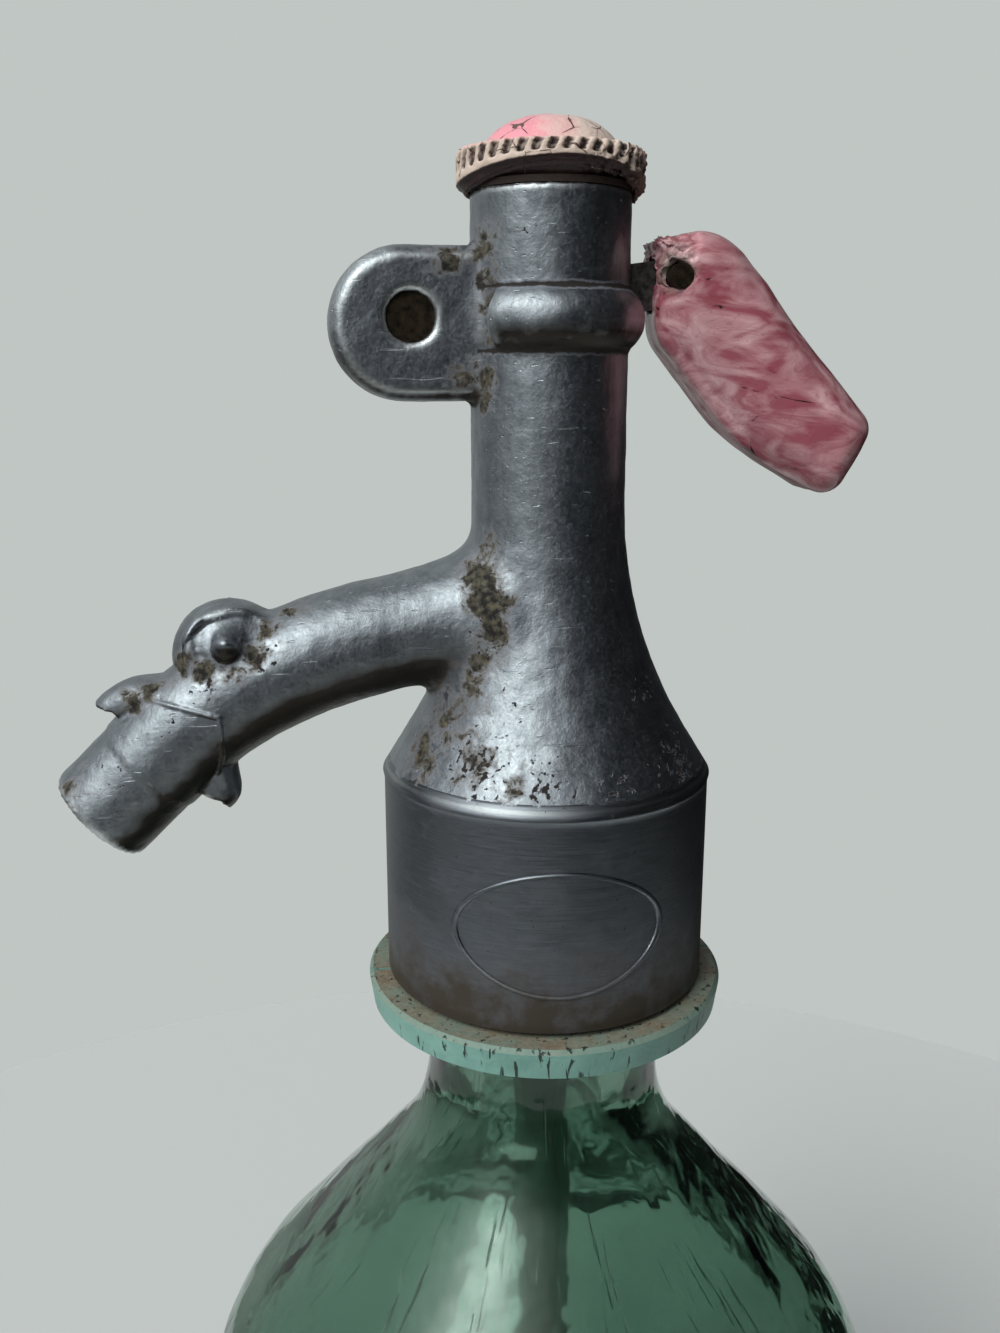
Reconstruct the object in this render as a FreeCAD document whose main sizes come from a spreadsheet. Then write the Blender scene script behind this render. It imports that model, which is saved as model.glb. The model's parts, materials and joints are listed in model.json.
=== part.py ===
import FreeCAD, Part

# Soda siphon: a thick glass bottle with a cast aluminium head. The head holds a spring-loaded
# valve, a lever with a plastic grip that opens it, and a dolphin spout.
# Frame: origin at the centre of the bottle's foot, +Z up, the spout along -X, the grip along +X.
# Millimetres throughout.
import math
import os
import Sketcher

Vector = FreeCAD.Vector
Y_AXIS = Vector(0, 1, 0)
Z_AXIS = Vector(0, 0, 1)

# ---------------------------------------------------------------------------------------------
# Driving dimensions
# ---------------------------------------------------------------------------------------------
SIZES = {
    # glass bottle
    "bottle_radius": 52.0,
    "bottle_wall": 5.0,
    "foot_thick": 8.0,
    "heel_round": 9.0,
    "foot_ring_radius": 36.0,
    "punt_depth": 6.0,
    "punt_flat": 3.0,
    "body_height": 132.5,
    "shoulder_rise": 40.0,
    "shoulder_round": 29.0,
    "neck_round": 26.0,
    "neck_radius": 17.0,
    "neck_length": 19.0,
    "groove_radius": 14.2,
    "groove_height": 11.0,
    "lip_radius": 15.8,
    "lip_height": 5.6,
    "lip_round": 1.4,
    "mouth_radius": 9.0,
    # split threaded ring round the bottle's neck
    "flange_radius": 25.4,
    "flange_taper": 0.6,
    "flange_thick": 4.1,
    "flange_edge": 0.6,
    "ring_gap": 0.4,
    "ring_fit": 0.2,
    "thread_radius": 19.0,
    "thread_height": 9.5,
    "split_angle": 1.2,
    # seals, tube holder and dip tube
    "gasket_thick": 1.6,
    "seal_inset": 0.4,
    "holder_flange": 2.0,
    "holder_length": 11.0,
    "holder_fit": 0.2,
    "tube_radius": 4.0,
    "tube_bore": 2.6,
    "tube_fit": 0.1,
    "sleeve_wall": 2.0,
    "sleeve_length": 8.0,
    "tube_foot_gap": 7.0,
    "tube_slant": 30.0,
    # turned collar, bell and barrel of the head, heights from the collar's lower edge
    "collar_gap": 0.9,
    "collar_radius": 22.5,
    "collar_height": 29.0,
    "thread_gap": 0.1,
    "rim_radius": 22.7,
    "rim_height": 0.8,
    "bell_radius": 22.2,
    "bell_rise": 19.6,
    "bell_round": 60.0,
    "barrel_radius": 10.2,
    "bead_radius": 12.3,
    "bead_width": 7.5,
    "bead_drop": 0.2,
    "bead_gap_angle": 36.0,
    # waterway and bores of the head
    "chamber_mouth": 11.0,
    "chamber_radius": 8.5,
    "seat_level": 41.0,
    "seat_bore": 4.2,
    "seat_thick": 2.0,
    "outlet_radius": 5.6,
    "web_level": 55.0,
    "web_thick": 4.5,
    "barrel_bore": 7.1,
    "slide_gap": 0.08,
    "stem_gap": 0.06,
    # spout: a falling tube that leaves the barrel and ends in a straight nozzle
    "spout_level": 50.5,
    "spout_root": 6.0,
    "spout_lead_angle": 4.0,
    "spout_lead": 18.0,
    "spout_trail": 14.0,
    "nozzle_reach": 50.0,
    "nozzle_drop": 15.5,
    "nozzle_angle": 44.0,
    "nozzle_length": 14.6,
    "neck_tube_radius": 7.8,
    "root_flare": 3.6,
    "root_flare_share": 0.28,
    "nozzle_radius": 7.65,
    "nozzle_end_length": 9.6,
    "nozzle_end_radius": 7.4,
    "spout_bore": 4.8,
    # dolphin head round the spout, lips measured along and across the nozzle from its start
    "lip_start": 6.0,
    "lip_reach": 3.5,
    "lip_rise": 3.1,
    "lip_hollow": 1.1,
    "lip_edge": 0.6,
    "jaw_start": 5.5,
    "jaw_reach": 2.4,
    "jaw_fall": 3.9,
    "jaw_hollow": 0.8,
    "crown_back": 7.6,
    "crown_rise": 11.2,
    "crown_radius": 7.5,
    "crown_squeeze": 0.86,
    "eye_tilt": 24.0,
    "eye_radius": 3.7,
    "eye_groove": 0.45,
    "pupil_radius": 1.8,
    "pupil_sink": 0.5,
    "brow_radius": 4.7,
    "brow_thick": 0.8,
    "brow_clear": 1.6,
    # lug that carries the lever's pivot
    "pivot_reach": 18.2,
    "pivot_level": 89.0,
    "lug_centre": 18.9,
    "lug_radius": 9.45,
    "lug_drop": 0.8,
    "lug_width": 8.0,
    "lug_bevel": 1.3,
    "pin_radius": 3.1,
    "pin_gap": 0.05,
    "pin_recess": 0.8,
    # lever
    "lever_thick": 3.2,
    "lever_half": 3.0,
    "lever_side_gap": 0.4,
    "lever_edge_gap": 0.3,
    "rest_tilt": 7.5,
    "press_angle": 11.0,
    "eye_wall": 2.4,
    "eye_clear": 0.5,
    "knee_reach": 37.0,
    "tang_drop": 41.0,
    "tang_length": 25.0,
    "tang_fit": 0.1,
    # grip, places from the lever's pivot
    "grip_width": 15.5,
    "grip_start": 30.8,
    "grip_top": 10.3,
    "grip_shoulder_reach": 40.2,
    "grip_shoulder_rise": 11.3,
    "grip_tip_reach": 62.0,
    "grip_tip_drop": 13.6,
    "grip_heel_reach": 56.0,
    "grip_heel_drop": 23.5,
    "grip_belly_reach": 42.7,
    "grip_belly_drop": 15.9,
    "grip_throat_reach": 31.6,
    "grip_throat_drop": 2.6,
    "grip_shoulder_round": 9.0,
    "grip_tip_round": 3.0,
    "grip_heel_round": 3.0,
    "grip_belly_round": 30.0,
    "grip_throat_round": 5.0,
    "grip_edge_round": 4.0,
    "grip_pin_reach": 33.6,
    "grip_pin_radius": 1.5,
    "grip_pin_fit": 0.02,
    "grip_pin_recess": 0.6,
    # valve
    "stem_radius": 3.0,
    "stem_tip_radius": 2.0,
    "spindle_web": 2.3,
    "valve_gap": 0.05,
    "valve_radius": 6.4,
    "valve_thick": 3.2,
    "cup_wall": 0.8,
    "cup_floor": 1.4,
    "nut_flats": 8.0,
    "nut_thick": 3.4,
    "stem_tail": 1.2,
    "packing_thick": 4.0,
    "packing_fit": 0.05,
    "washer_thick": 1.2,
    "washer_gap": 0.25,
    "wire_radius": 0.6,
    "coil_radius": 5.2,
    "coil_turns": 6.5,
    # screw cap
    "plug_radius": 8.0,
    "plug_gap": 0.08,
    "plug_depth": 5.9,
    "plug_end_gap": 0.35,
    "cap_washer_thick": 0.8,
    "cap_radius": 12.0,
    "cap_skirt": 4.0,
    "cap_overlap": 1.2,
    "cap_overlap_gap": 0.2,
    "dome_radius": 8.9,
    "dome_height": 4.0,
    "dome_flat": 2.0,
    "cap_lip_round": 0.9,
    "notch_count": 40,
    "notch_depth": 0.55,
    "notch_width": 0.9,
    "notch_slant": 0.9,
    "notch_height": 3.0,
}

# Levels and places worked out from the sizes above; each may use the ones before it.
DERIVED = {
    "neck_top": "body_height + shoulder_rise + neck_length",
    "ring_foot": "neck_top + ring_gap",
    "ring_top": "ring_foot + flange_thick",
    "lip_foot": "neck_top + groove_height",
    "lip_top": "lip_foot + lip_height",
    "holder_level": "lip_top + gasket_thick",
    "tube_top": "holder_level + holder_flange",
    "head_seat": "tube_top + gasket_thick",
    "head_base": "ring_top + collar_gap",
    "rim_level": "head_base + collar_height",
    "seat_low": "head_base + seat_level",
    "web_low": "head_base + web_level",
    "web_top": "web_low + web_thick",
    "pivot_height": "head_base + pivot_level",
    "bead_centre": "pivot_height - bead_drop",
    "lug_height": "pivot_height - lug_drop",
    "slot_half_width": "lever_thick / 2 + lever_side_gap",
    "slot_reach": "pivot_reach + bead_radius + lever_edge_gap",
    "slot_rise": "slot_reach * tan(rest_tilt) + lever_half / cos(rest_tilt) + lever_edge_gap",
    "slot_fall": "slot_reach * tan(press_angle - rest_tilt) + lever_half + lever_edge_gap",
    "lever_eye": "pin_radius + pin_gap + eye_wall",
    "spindle_radius": "barrel_bore - slide_gap",
    "window_centre": "pivot_height + pivot_reach * tan(rest_tilt)",
    "window_half": "lever_half / cos(rest_tilt) + spindle_radius * tan(rest_tilt) + lever_edge_gap",
    "spindle_foot": "window_centre - window_half - spindle_web",
    "spindle_top": "window_centre + window_half + spindle_web",
    "barrel_top": "spindle_top + plug_end_gap + plug_depth",
    "packing_top": "web_top + packing_thick",
    "spring_foot": "packing_top + washer_thick",
    "valve_top": "seat_low - valve_gap",
    "valve_foot": "valve_top - valve_thick",
    "cup_foot": "valve_foot - cup_floor",
    "nut_foot": "cup_foot - nut_thick",
    "cap_seat": "barrel_top + cap_washer_thick",
    "cap_brim": "cap_seat + cap_skirt",
    "spout_height": "head_base + spout_level",
    "nozzle_height": "spout_height - nozzle_drop",
    "grip_pin_rise": "grip_pin_reach * tan(rest_tilt) + 0.2 * lever_half",
}

doc = FreeCAD.newDocument("SodaSiphon")
sheet = doc.addObject("Spreadsheet::Sheet", "Sizes")


def fill_sheet():
    """Writes every size and every derived level into the sheet, one row each."""
    row = 1
    for alias, number in SIZES.items():
        sheet.set("A%d" % row, alias)
        sheet.set("B%d" % row, str(number))
        sheet.setAlias("B%d" % row, alias)
        row += 1
    for alias, formula in DERIVED.items():
        sheet.set("A%d" % row, alias)
        sheet.set("B%d" % row, "=" + formula)
        sheet.setAlias("B%d" % row, alias)
        row += 1
    doc.recompute()


fill_sheet()


def bound(expression):
    """The expression with every sheet alias written as a reference to the sheet."""
    words = []
    word = ""
    for letter in expression + " ":
        if letter.isalnum() or letter in "_.":
            word += letter
            continue
        if word in SIZES or word in DERIVED:
            word = "Sizes." + word
        words.append(word + letter)
        word = ""
    return "".join(words).strip()


def size(expression):
    """The number that an expression of sheet aliases stands for."""
    return float(sheet.evalExpression(bound(expression)))


# ---------------------------------------------------------------------------------------------
# Modelling helpers
# ---------------------------------------------------------------------------------------------
def drive(thing, target, expression):
    thing.setExpression(target, bound(expression))


def place(thing, x="0", y="0", z="0", turn=None):
    """Puts an object at x, y, z; turn is (axis, angle in degrees)."""
    drive(thing, "Placement.Base.x", x)
    drive(thing, "Placement.Base.y", y)
    drive(thing, "Placement.Base.z", z)
    if turn:
        thing.Placement.Rotation = FreeCAD.Rotation(turn[0], turn[1])


def new_body(name):
    body = doc.addObject("PartDesign::Body", name)
    body.Label = name
    return body


def new_sketch(body, name, role, offset=None):
    """A sketch on one of the body's own origin planes; offset moves it along the plane's normal."""
    sketch = body.newObject("Sketcher::SketchObject", name)
    plane = [item for item in body.Origin.OriginFeatures if item.Role == role][0]
    sketch.AttachmentSupport = [(plane, "")]
    sketch.MapMode = "FlatFace"
    if offset:
        drive(sketch, "AttachmentOffset.Base.z", offset)
    return sketch


def pin_point(sketch, shape_index, point_index, x, y):
    """Holds one point of the sketch at x, y, each an expression of the sheet."""
    for kind, expression, axis in (("DistanceX", x, -2), ("DistanceY", y, -1)):
        if expression == "0":
            sketch.addConstraint(Sketcher.Constraint("PointOnObject", shape_index, point_index, axis))
            continue
        constraint = Sketcher.Constraint(kind, -1, 1, shape_index, point_index, size(expression))
        index = sketch.addConstraint(constraint)
        drive(sketch, "Constraints[%d]" % index, expression)


def draw_outline(sketch, points, arcs=None):
    """A closed outline through points; arcs maps a side's number to (radius, bulge).

    A bulge of 1 swells to the left of the side's direction, -1 to its right.
    """
    arcs = arcs or {}
    places = [Vector(size(x), size(y), 0) for x, y in points]
    count = len(places)
    first = sketch.GeometryCount
    ends = []
    for side in range(count):
        start, end = places[side], places[(side + 1) % count]
        if side not in arcs:
            sketch.addGeometry(Part.LineSegment(start, end), False)
            ends.append((1, 2))
            continue
        radius, bulge = arcs[side]
        chord = end - start
        reach = size(radius)
        across = Vector(-chord.y, chord.x, 0).normalize()
        inset = math.sqrt(max(reach ** 2 - (chord.Length / 2) ** 2, 0))
        centre = (start + end) / 2 - across * inset * bulge
        first_end, last_end = (end, start) if bulge > 0 else (start, end)
        low, high = [math.atan2(p.y - centre.y, p.x - centre.x) for p in (first_end, last_end)]
        circle = Part.Circle(centre, Z_AXIS, reach)
        sketch.addGeometry(Part.ArcOfCircle(circle, low, high), False)
        ends.append((2, 1) if bulge > 0 else (1, 2))
    for side in range(count):
        after = (side + 1) % count
        joint = Sketcher.Constraint("Coincident", first + side, ends[side][1],
                                    first + after, ends[after][0])
        sketch.addConstraint(joint)
        pin_point(sketch, first + side, ends[side][0], points[side][0], points[side][1])
    for side, (radius, bulge) in arcs.items():
        index = sketch.addConstraint(Sketcher.Constraint("Radius", first + side, size(radius)))
        drive(sketch, "Constraints[%d]" % index, radius)


def draw_circle(sketch, x, y, radius):
    circle = Part.Circle(Vector(size(x), size(y), 0), Z_AXIS, size(radius))
    index = sketch.addGeometry(circle, False)
    pin_point(sketch, index, 3, x, y)
    constraint = sketch.addConstraint(Sketcher.Constraint("Radius", index, size(radius)))
    drive(sketch, "Constraints[%d]" % constraint, radius)


def revolve(body, sketch, angle="360"):
    turned = body.newObject("PartDesign::Revolution", body.Name + "_turned")
    turned.Profile = sketch
    turned.ReferenceAxis = (sketch, ["V_Axis"])
    drive(turned, "Angle", angle)
    turned.Midplane = True
    body.Tip = turned
    doc.recompute()
    return turned


def ring_outline(inner, outer, low, high):
    return [(inner, low), (outer, low), (outer, high), (inner, high)]


def revolved_body(name, points, arcs=None, angle="360"):
    body = new_body(name)
    sketch = new_sketch(body, name + "_profile", "XZ_Plane")
    draw_outline(sketch, points, arcs)
    revolve(body, sketch, angle)
    return body


def pad(body, sketch, length, both_ways=True):
    extrusion = body.newObject("PartDesign::Pad", sketch.Name + "_pad")
    extrusion.Profile = sketch
    drive(extrusion, "Length", length)
    extrusion.Midplane = both_ways
    body.Tip = extrusion
    doc.recompute()
    return extrusion


def pocket(body, sketch, length, both_ways=True, reverse=False):
    """Cuts the sketch out of the body and makes sure that it took material away."""
    before = body.Tip.Shape.Volume
    cut = body.newObject("PartDesign::Pocket", sketch.Name + "_pocket")
    cut.Profile = sketch
    drive(cut, "Length", length)
    cut.Midplane = both_ways
    cut.Reversed = reverse
    body.Tip = cut
    doc.recompute()
    if cut.Shape.Volume >= before - 1e-6:
        raise RuntimeError(sketch.Name + " cuts nothing")
    return cut


def dress(body, kind, wanted, amount, label):
    """A fillet or chamfer on the edges of the body's tip that wanted(edge) picks."""
    tip = body.Tip
    names = ["Edge%d" % (i + 1) for i, edge in enumerate(tip.Shape.Edges) if wanted(edge)]
    if not names:
        raise RuntimeError(label + " finds no edge")
    feature = body.newObject("PartDesign::" + kind, label)
    feature.Base = (tip, names)
    drive(feature, "Radius" if kind == "Fillet" else "Size", amount)
    body.Tip = feature
    doc.recompute()
    return feature


def circle_at(radius, height):
    """Picks the round edge of the given radius and height about the body's Z axis."""
    r, z = size(radius), size(height)

    def wanted(edge):
        curve = edge.Curve
        if not hasattr(curve, "Radius"):
            return False
        return abs(curve.Radius - r) < 0.01 and abs(curve.Center.z - z) < 0.01
    return wanted


def corner_at(x, z):
    """Picks the edge across the width (along Y) at x, z in the body's own frame."""
    at_x, at_z = size(x), size(z)

    def wanted(edge):
        a, b = edge.Vertexes[0].Point, edge.Vertexes[-1].Point
        across = abs(a.x - b.x) < 0.01 and abs(a.z - b.z) < 0.01 and abs(a.y - b.y) > 0.5
        return across and abs(a.x - at_x) < 0.01 and abs(a.z - at_z) < 0.01
    return wanted


def cylinder(name, radius, height, x="0", y="0", z="0", turn=None):
    thing = doc.addObject("Part::Cylinder", name)
    drive(thing, "Radius", radius)
    drive(thing, "Height", height)
    place(thing, x, y, z, turn)
    return thing


def cone(name, low_radius, high_radius, height, z="0"):
    thing = doc.addObject("Part::Cone", name)
    drive(thing, "Radius1", low_radius)
    drive(thing, "Radius2", high_radius)
    drive(thing, "Height", height)
    place(thing, z=z)
    return thing


def block(name, length, width, height, x, y, z):
    thing = doc.addObject("Part::Box", name)
    drive(thing, "Length", length)
    drive(thing, "Width", width)
    drive(thing, "Height", height)
    place(thing, x, y, z)
    return thing


def fuse(name, things):
    union = doc.addObject("Part::MultiFuse", name)
    union.Shapes = things
    return union


def cut(name, base, tool):
    result = doc.addObject("Part::Cut", name)
    result.Base = base
    result.Tool = tool
    return result


def solid_feature(name, shape):
    """A feature whose shape is worked out here, from the sheet's sizes."""
    feature = doc.addObject("Part::Feature", name)
    feature.Shape = shape
    feature.Placement = FreeCAD.Placement()
    return feature


# ---------------------------------------------------------------------------------------------
# Bottle and neck
# ---------------------------------------------------------------------------------------------
def make_bottle():
    """Thick blown bottle: punted foot, straight body, sloping shoulder, grooved neck and lip."""
    inner = "bottle_radius - bottle_wall"
    floor = "foot_thick"
    dome = "((foot_ring_radius - punt_flat) ^ 2 + punt_depth ^ 2) / (2 * punt_depth)"
    inner_dome = "((%s - punt_flat) ^ 2 + punt_depth ^ 2) / (2 * punt_depth)" % inner
    slope = "(shoulder_rise / (bottle_radius - neck_radius))"
    wall_shift = "bottle_wall * (sqrt(1 + %s ^ 2) - 1) / %s" % (slope, slope)
    inner_cone_low = "body_height - %s * %s" % (wall_shift, slope)
    inner_cone_high = "%s + %s * (bottle_radius - bottle_wall - mouth_radius)" % (
        inner_cone_low, slope)
    points = [
        ("foot_ring_radius", "0"),
        ("bottle_radius", "0"),
        ("bottle_radius", "body_height"),
        ("neck_radius", "body_height + shoulder_rise"),
        ("neck_radius", "neck_top"),
        ("groove_radius", "neck_top"),
        ("groove_radius", "lip_foot"),
        ("lip_radius", "lip_foot"),
        ("lip_radius", "lip_top"),
        ("mouth_radius", "lip_top"),
        ("mouth_radius", inner_cone_high),
        (inner, inner_cone_low),
        (inner, floor),
        ("punt_flat", "%s + punt_depth" % floor),
        ("0", "%s + punt_depth" % floor),
        ("0", "punt_depth"),
        ("punt_flat", "punt_depth"),
    ]
    arcs = {12: (inner_dome, -1), 16: (dome, 1)}
    body = revolved_body("bottle", points, arcs)
    dress(body, "Fillet", circle_at("bottle_radius", "0"), "heel_round", "bottle_heel")
    dress(body, "Fillet", circle_at("bottle_radius", "body_height"), "shoulder_round",
          "bottle_shoulder")
    dress(body, "Fillet", circle_at("neck_radius", "body_height + shoulder_rise"), "neck_round",
          "bottle_neck")
    dress(body, "Fillet", circle_at(inner, inner_cone_low), "shoulder_round - bottle_wall",
          "bottle_inner_shoulder")
    dress(body, "Fillet", circle_at("mouth_radius", inner_cone_high), "neck_round / 2",
          "bottle_inner_neck")
    dress(body, "Fillet", circle_at("lip_radius", "lip_top"), "lip_round", "bottle_lip")
    return body


def make_neck_ring(name, turn):
    """One half of the split ring: a flange under the collar and a threaded sleeve inside it."""
    clear = "groove_radius + ring_fit"
    recess = "lip_radius + ring_fit"
    points = [
        (clear, "ring_foot"),
        ("flange_radius - flange_taper", "ring_foot"),
        ("flange_radius", "ring_top"),
        ("thread_radius", "ring_top"),
        ("thread_radius", "ring_top + thread_height"),
        (recess, "ring_top + thread_height"),
        (recess, "lip_foot - ring_fit"),
        (clear, "lip_foot - ring_fit"),
    ]
    body = revolved_body(name, points, angle="180 - split_angle")
    dress(body, "Chamfer", circle_at("flange_radius", "ring_top"), "flange_edge", name + "_edge")
    place(body, turn=(Z_AXIS, turn))
    return body


def make_gasket(name, level, inner):
    """A flat rubber ring under or over the flange of the tube holder."""
    outer = "lip_radius - seal_inset"
    return revolved_body(name, ring_outline(inner, outer, level, level + " + gasket_thick"))


def make_tube_holder():
    """Flanged bush that hangs the dip tube in the bottle's mouth."""
    outer = "mouth_radius - holder_fit"
    bore = "tube_radius + tube_fit"
    seal = "tube_radius + sleeve_wall"
    foot = "tube_top - holder_length"
    points = [
        (seal, foot),
        (outer, foot),
        (outer, "holder_level"),
        ("lip_radius - seal_inset", "holder_level"),
        ("lip_radius - seal_inset", "tube_top"),
        (bore, "tube_top"),
        (bore, "%s + sleeve_length" % foot),
        (seal, "%s + sleeve_length" % foot),
    ]
    return revolved_body("tube_holder", points)


def make_tube_seal():
    """Rubber sleeve that grips the dip tube inside its holder."""
    foot = "tube_top - holder_length"
    points = ring_outline("tube_radius", "tube_radius + sleeve_wall", foot,
                          foot + " + sleeve_length")
    return revolved_body("tube_seal", points)


def make_dip_tube():
    """Glass tube from the valve down to just above the bottle's floor, its foot cut at a slant."""
    foot = "foot_thick + punt_depth + tube_foot_gap"
    body = revolved_body("dip_tube", ring_outline("tube_bore", "tube_radius", foot, "tube_top"))
    sketch = new_sketch(body, "dip_tube_slant", "XZ_Plane")
    rise = "2 * tube_radius * tan(tube_slant)"
    draw_outline(sketch, [
        ("0 - tube_radius", foot + " - 1"),
        ("tube_radius", foot + " - 1"),
        ("tube_radius", foot + " + " + rise),
        ("0 - tube_radius", foot),
    ])
    pocket(body, sketch, "4 * tube_radius")
    return body


# ---------------------------------------------------------------------------------------------
# Head: turned collar and barrel, bead, lug, spout and dolphin
# ---------------------------------------------------------------------------------------------
def make_head_blank():
    """Collar, bell and barrel as one turned form."""
    bell_foot = "rim_level + rim_height"
    points = [
        ("0", "head_base"),
        ("collar_radius", "head_base"),
        ("collar_radius", "rim_level - rim_height"),
        ("rim_radius", "rim_level"),
        ("bell_radius", bell_foot),
        ("barrel_radius", bell_foot + " + bell_rise"),
        ("barrel_radius", "barrel_top"),
        ("0", "barrel_top"),
    ]
    body = revolved_body("head_blank", points)
    dress(body, "Fillet", circle_at("barrel_radius", bell_foot + " + bell_rise"), "bell_round",
          "bell_curve")
    return body


def make_bead():
    """Rounded band round the barrel at the lever's height; it stops short of the lug."""
    low = "bead_centre - bead_width / 2"
    high = "bead_centre + bead_width / 2"
    depth = "(bead_radius - barrel_radius)"
    inner = "barrel_radius - " + depth
    radius = "((bead_width / 2) ^ 2 + %s ^ 2) / (2 * %s)" % (depth, depth)
    points = [(inner, low), ("barrel_radius", low), ("barrel_radius", high), (inner, high)]
    return revolved_body("bead", points, {1: (radius, -1)}, "360 - 2 * bead_gap_angle")


def make_lug():
    """Flat ear on the spout side with a round end and bevelled edges."""
    body = new_body("lug")
    root = "0 - (barrel_radius + barrel_bore) / 2"
    end = new_sketch(body, "lug_end", "XZ_Plane")
    draw_circle(end, "0 - lug_centre", "lug_height", "lug_radius")
    pad(body, end, "lug_width")
    web = new_sketch(body, "lug_web", "XZ_Plane")
    draw_outline(web, [
        ("0 - lug_centre", "lug_height - lug_radius"),
        (root, "lug_height - lug_radius"),
        (root, "lug_height + lug_radius"),
        ("0 - lug_centre", "lug_height + lug_radius"),
    ])
    pad(body, web, "lug_width")
    root_x = size(root)

    def outer_rim(edge):
        middle = edge.valueAt((edge.FirstParameter + edge.LastParameter) / 2)
        flat = all(abs(abs(v.Point.y) - size("lug_width / 2")) < 0.01 for v in edge.Vertexes)
        return flat and middle.x < root_x - 0.01
    dress(body, "Chamfer", outer_rim, "lug_bevel", "lug_draft")
    return body


# Where the spout's sections are, as shares of its curve, closer together at the flared root.
SPOUT_SHARES = (0, 0.08, 0.16, 0.25, 0.4, 0.55, 0.7, 0.85, 1)

# Sections of the lips from their roots to past their tips, as lip_hood reads them.
UPPER_LIP = (
    (-1.0, -0.16, 0.92),
    (-0.8, 0.0, 0.84),
    (-0.37, 0.65, 0.6),
    (0.0, 0.97, 0.45),
    (1.3, 1.02, 0.29),
)
LOWER_LIP = (
    (-1.0, -0.13, 0.81),
    (-0.76, 0.09, 0.7),
    (-0.44, 0.56, 0.63),
    (-0.17, 0.85, 0.59),
    (1.4, 1.01, 0.55),
)


def spout_point(share):
    """Centre and falling direction of the spout's curved part; share runs from 0 to 1."""
    lead = math.radians(size("spout_lead_angle"))
    fall = math.radians(size("nozzle_angle"))
    start = Vector(-size("spout_root"), 0, size("spout_height"))
    end = Vector(-size("nozzle_reach"), 0, size("nozzle_height"))
    first = start + Vector(-math.cos(lead), 0, -math.sin(lead)) * size("spout_lead")
    last = end - Vector(-math.cos(fall), 0, -math.sin(fall)) * size("spout_trail")
    rest = 1 - share
    point = (start * rest ** 3 + first * 3 * rest ** 2 * share
             + last * 3 * rest * share ** 2 + end * share ** 3)
    slope = ((first - start) * rest ** 2 + (last - first) * 2 * rest * share
             + (end - last) * share ** 2)
    return point, slope.normalize()


def curved_tube(radius_at_root, radius_at_nozzle, flare=0):
    """A round tube along the spout's curve, flared towards the barrel."""
    sections = []
    for share in SPOUT_SHARES:
        point, along = spout_point(share)
        radius = radius_at_root + (radius_at_nozzle - radius_at_root) * share
        radius += flare * max(1 - share / size("root_flare_share"), 0) ** 2
        sections.append(Part.Wire([Part.Circle(point, along, radius).toShape()]))
    return Part.makeLoft(sections, True)


def nozzle_tube(radius, start, end):
    """A straight tube along the nozzle, between two distances from its start."""
    origin, along = spout_point(1)
    return Part.makeCylinder(radius, end - start, origin + along * start, along)


def ring_at(along_nozzle, shift, radius):
    """Circle across the spout; along_nozzle is measured from the nozzle's start, back if negative.

    shift moves the circle up (towards the dolphin's crown) or down (towards its throat).
    """
    start, along = spout_point(1)
    if along_nozzle < 0:
        length = size("nozzle_reach - spout_root") / math.cos(math.radians(size("nozzle_angle")) / 2)
        start, along = spout_point(1 + along_nozzle / length)
        along_nozzle = 0
    centre = start + along * along_nozzle + across(along) * shift
    return Part.Wire([Part.Circle(centre, along, radius).toShape()])


def across(along):
    """The direction square to the spout, in its plane, that points up."""
    up = along.cross(Y_AXIS)
    return up if up.z > 0 else up * -1


def lip_hood(rings, start, reach, rise, side):
    """A hood that grows out of the spout towards the mouth; side is 1 above it and -1 below.

    Each ring is (place, height, radius): its place as a share of start, or past 0 of reach, the
    height of its crest over the nozzle as a share of rise, and its radius as a share of the
    nozzle's.
    """
    tube = size("nozzle_radius")
    sections = []
    for place, height, share in rings:
        along = place * (size(start) if place < 0 else size(reach))
        radius = share * tube
        crest = tube + height * size(rise)
        sections.append(ring_at(along, side * (crest - radius), radius))
    return Part.makeLoft(sections, True)


def make_lips():
    """Upper and lower lip: beaks that lift off the nozzle, hollowed a little at their fronts."""
    hoods = lip_hood(UPPER_LIP, "lip_start", "lip_reach", "lip_rise", 1)
    hoods = hoods.fuse(lip_hood(LOWER_LIP, "jaw_start", "jaw_reach", "jaw_fall", -1))
    tube = size("nozzle_radius")
    lip_end, lip_rise = size("lip_reach"), size("lip_rise")
    jaw_end, jaw_fall = size("jaw_reach"), size("jaw_fall")
    lip_root = lip_end - size("lip_hollow")
    far = 2 * size("nozzle_length")
    mouth = [
        (lip_end, tube + 2 * lip_rise),
        (lip_end, tube + lip_rise - size("lip_edge")),
        (lip_root, tube + 0.3 * lip_rise),
        (lip_root, 0.5 * tube),
        (jaw_end, -0.5 * tube),
        (jaw_end, -tube),
        (jaw_end - size("jaw_hollow"), -tube - 0.5 * jaw_fall),
        (jaw_end, -tube - jaw_fall),
        (jaw_end, -tube - 2 * jaw_fall),
        (far, -tube - 2 * jaw_fall),
        (far, tube + 2 * lip_rise),
    ]
    start, along = spout_point(1)
    up = across(along)
    corners = [start + along * a + up * b for a, b in mouth]
    width = 4 * tube
    wedge = Part.Face(Part.makePolygon(corners + corners[:1])).extrude(Vector(0, width, 0))
    wedge.translate(Vector(0, -width / 2, 0))
    return hoods.cut(wedge)


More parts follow.
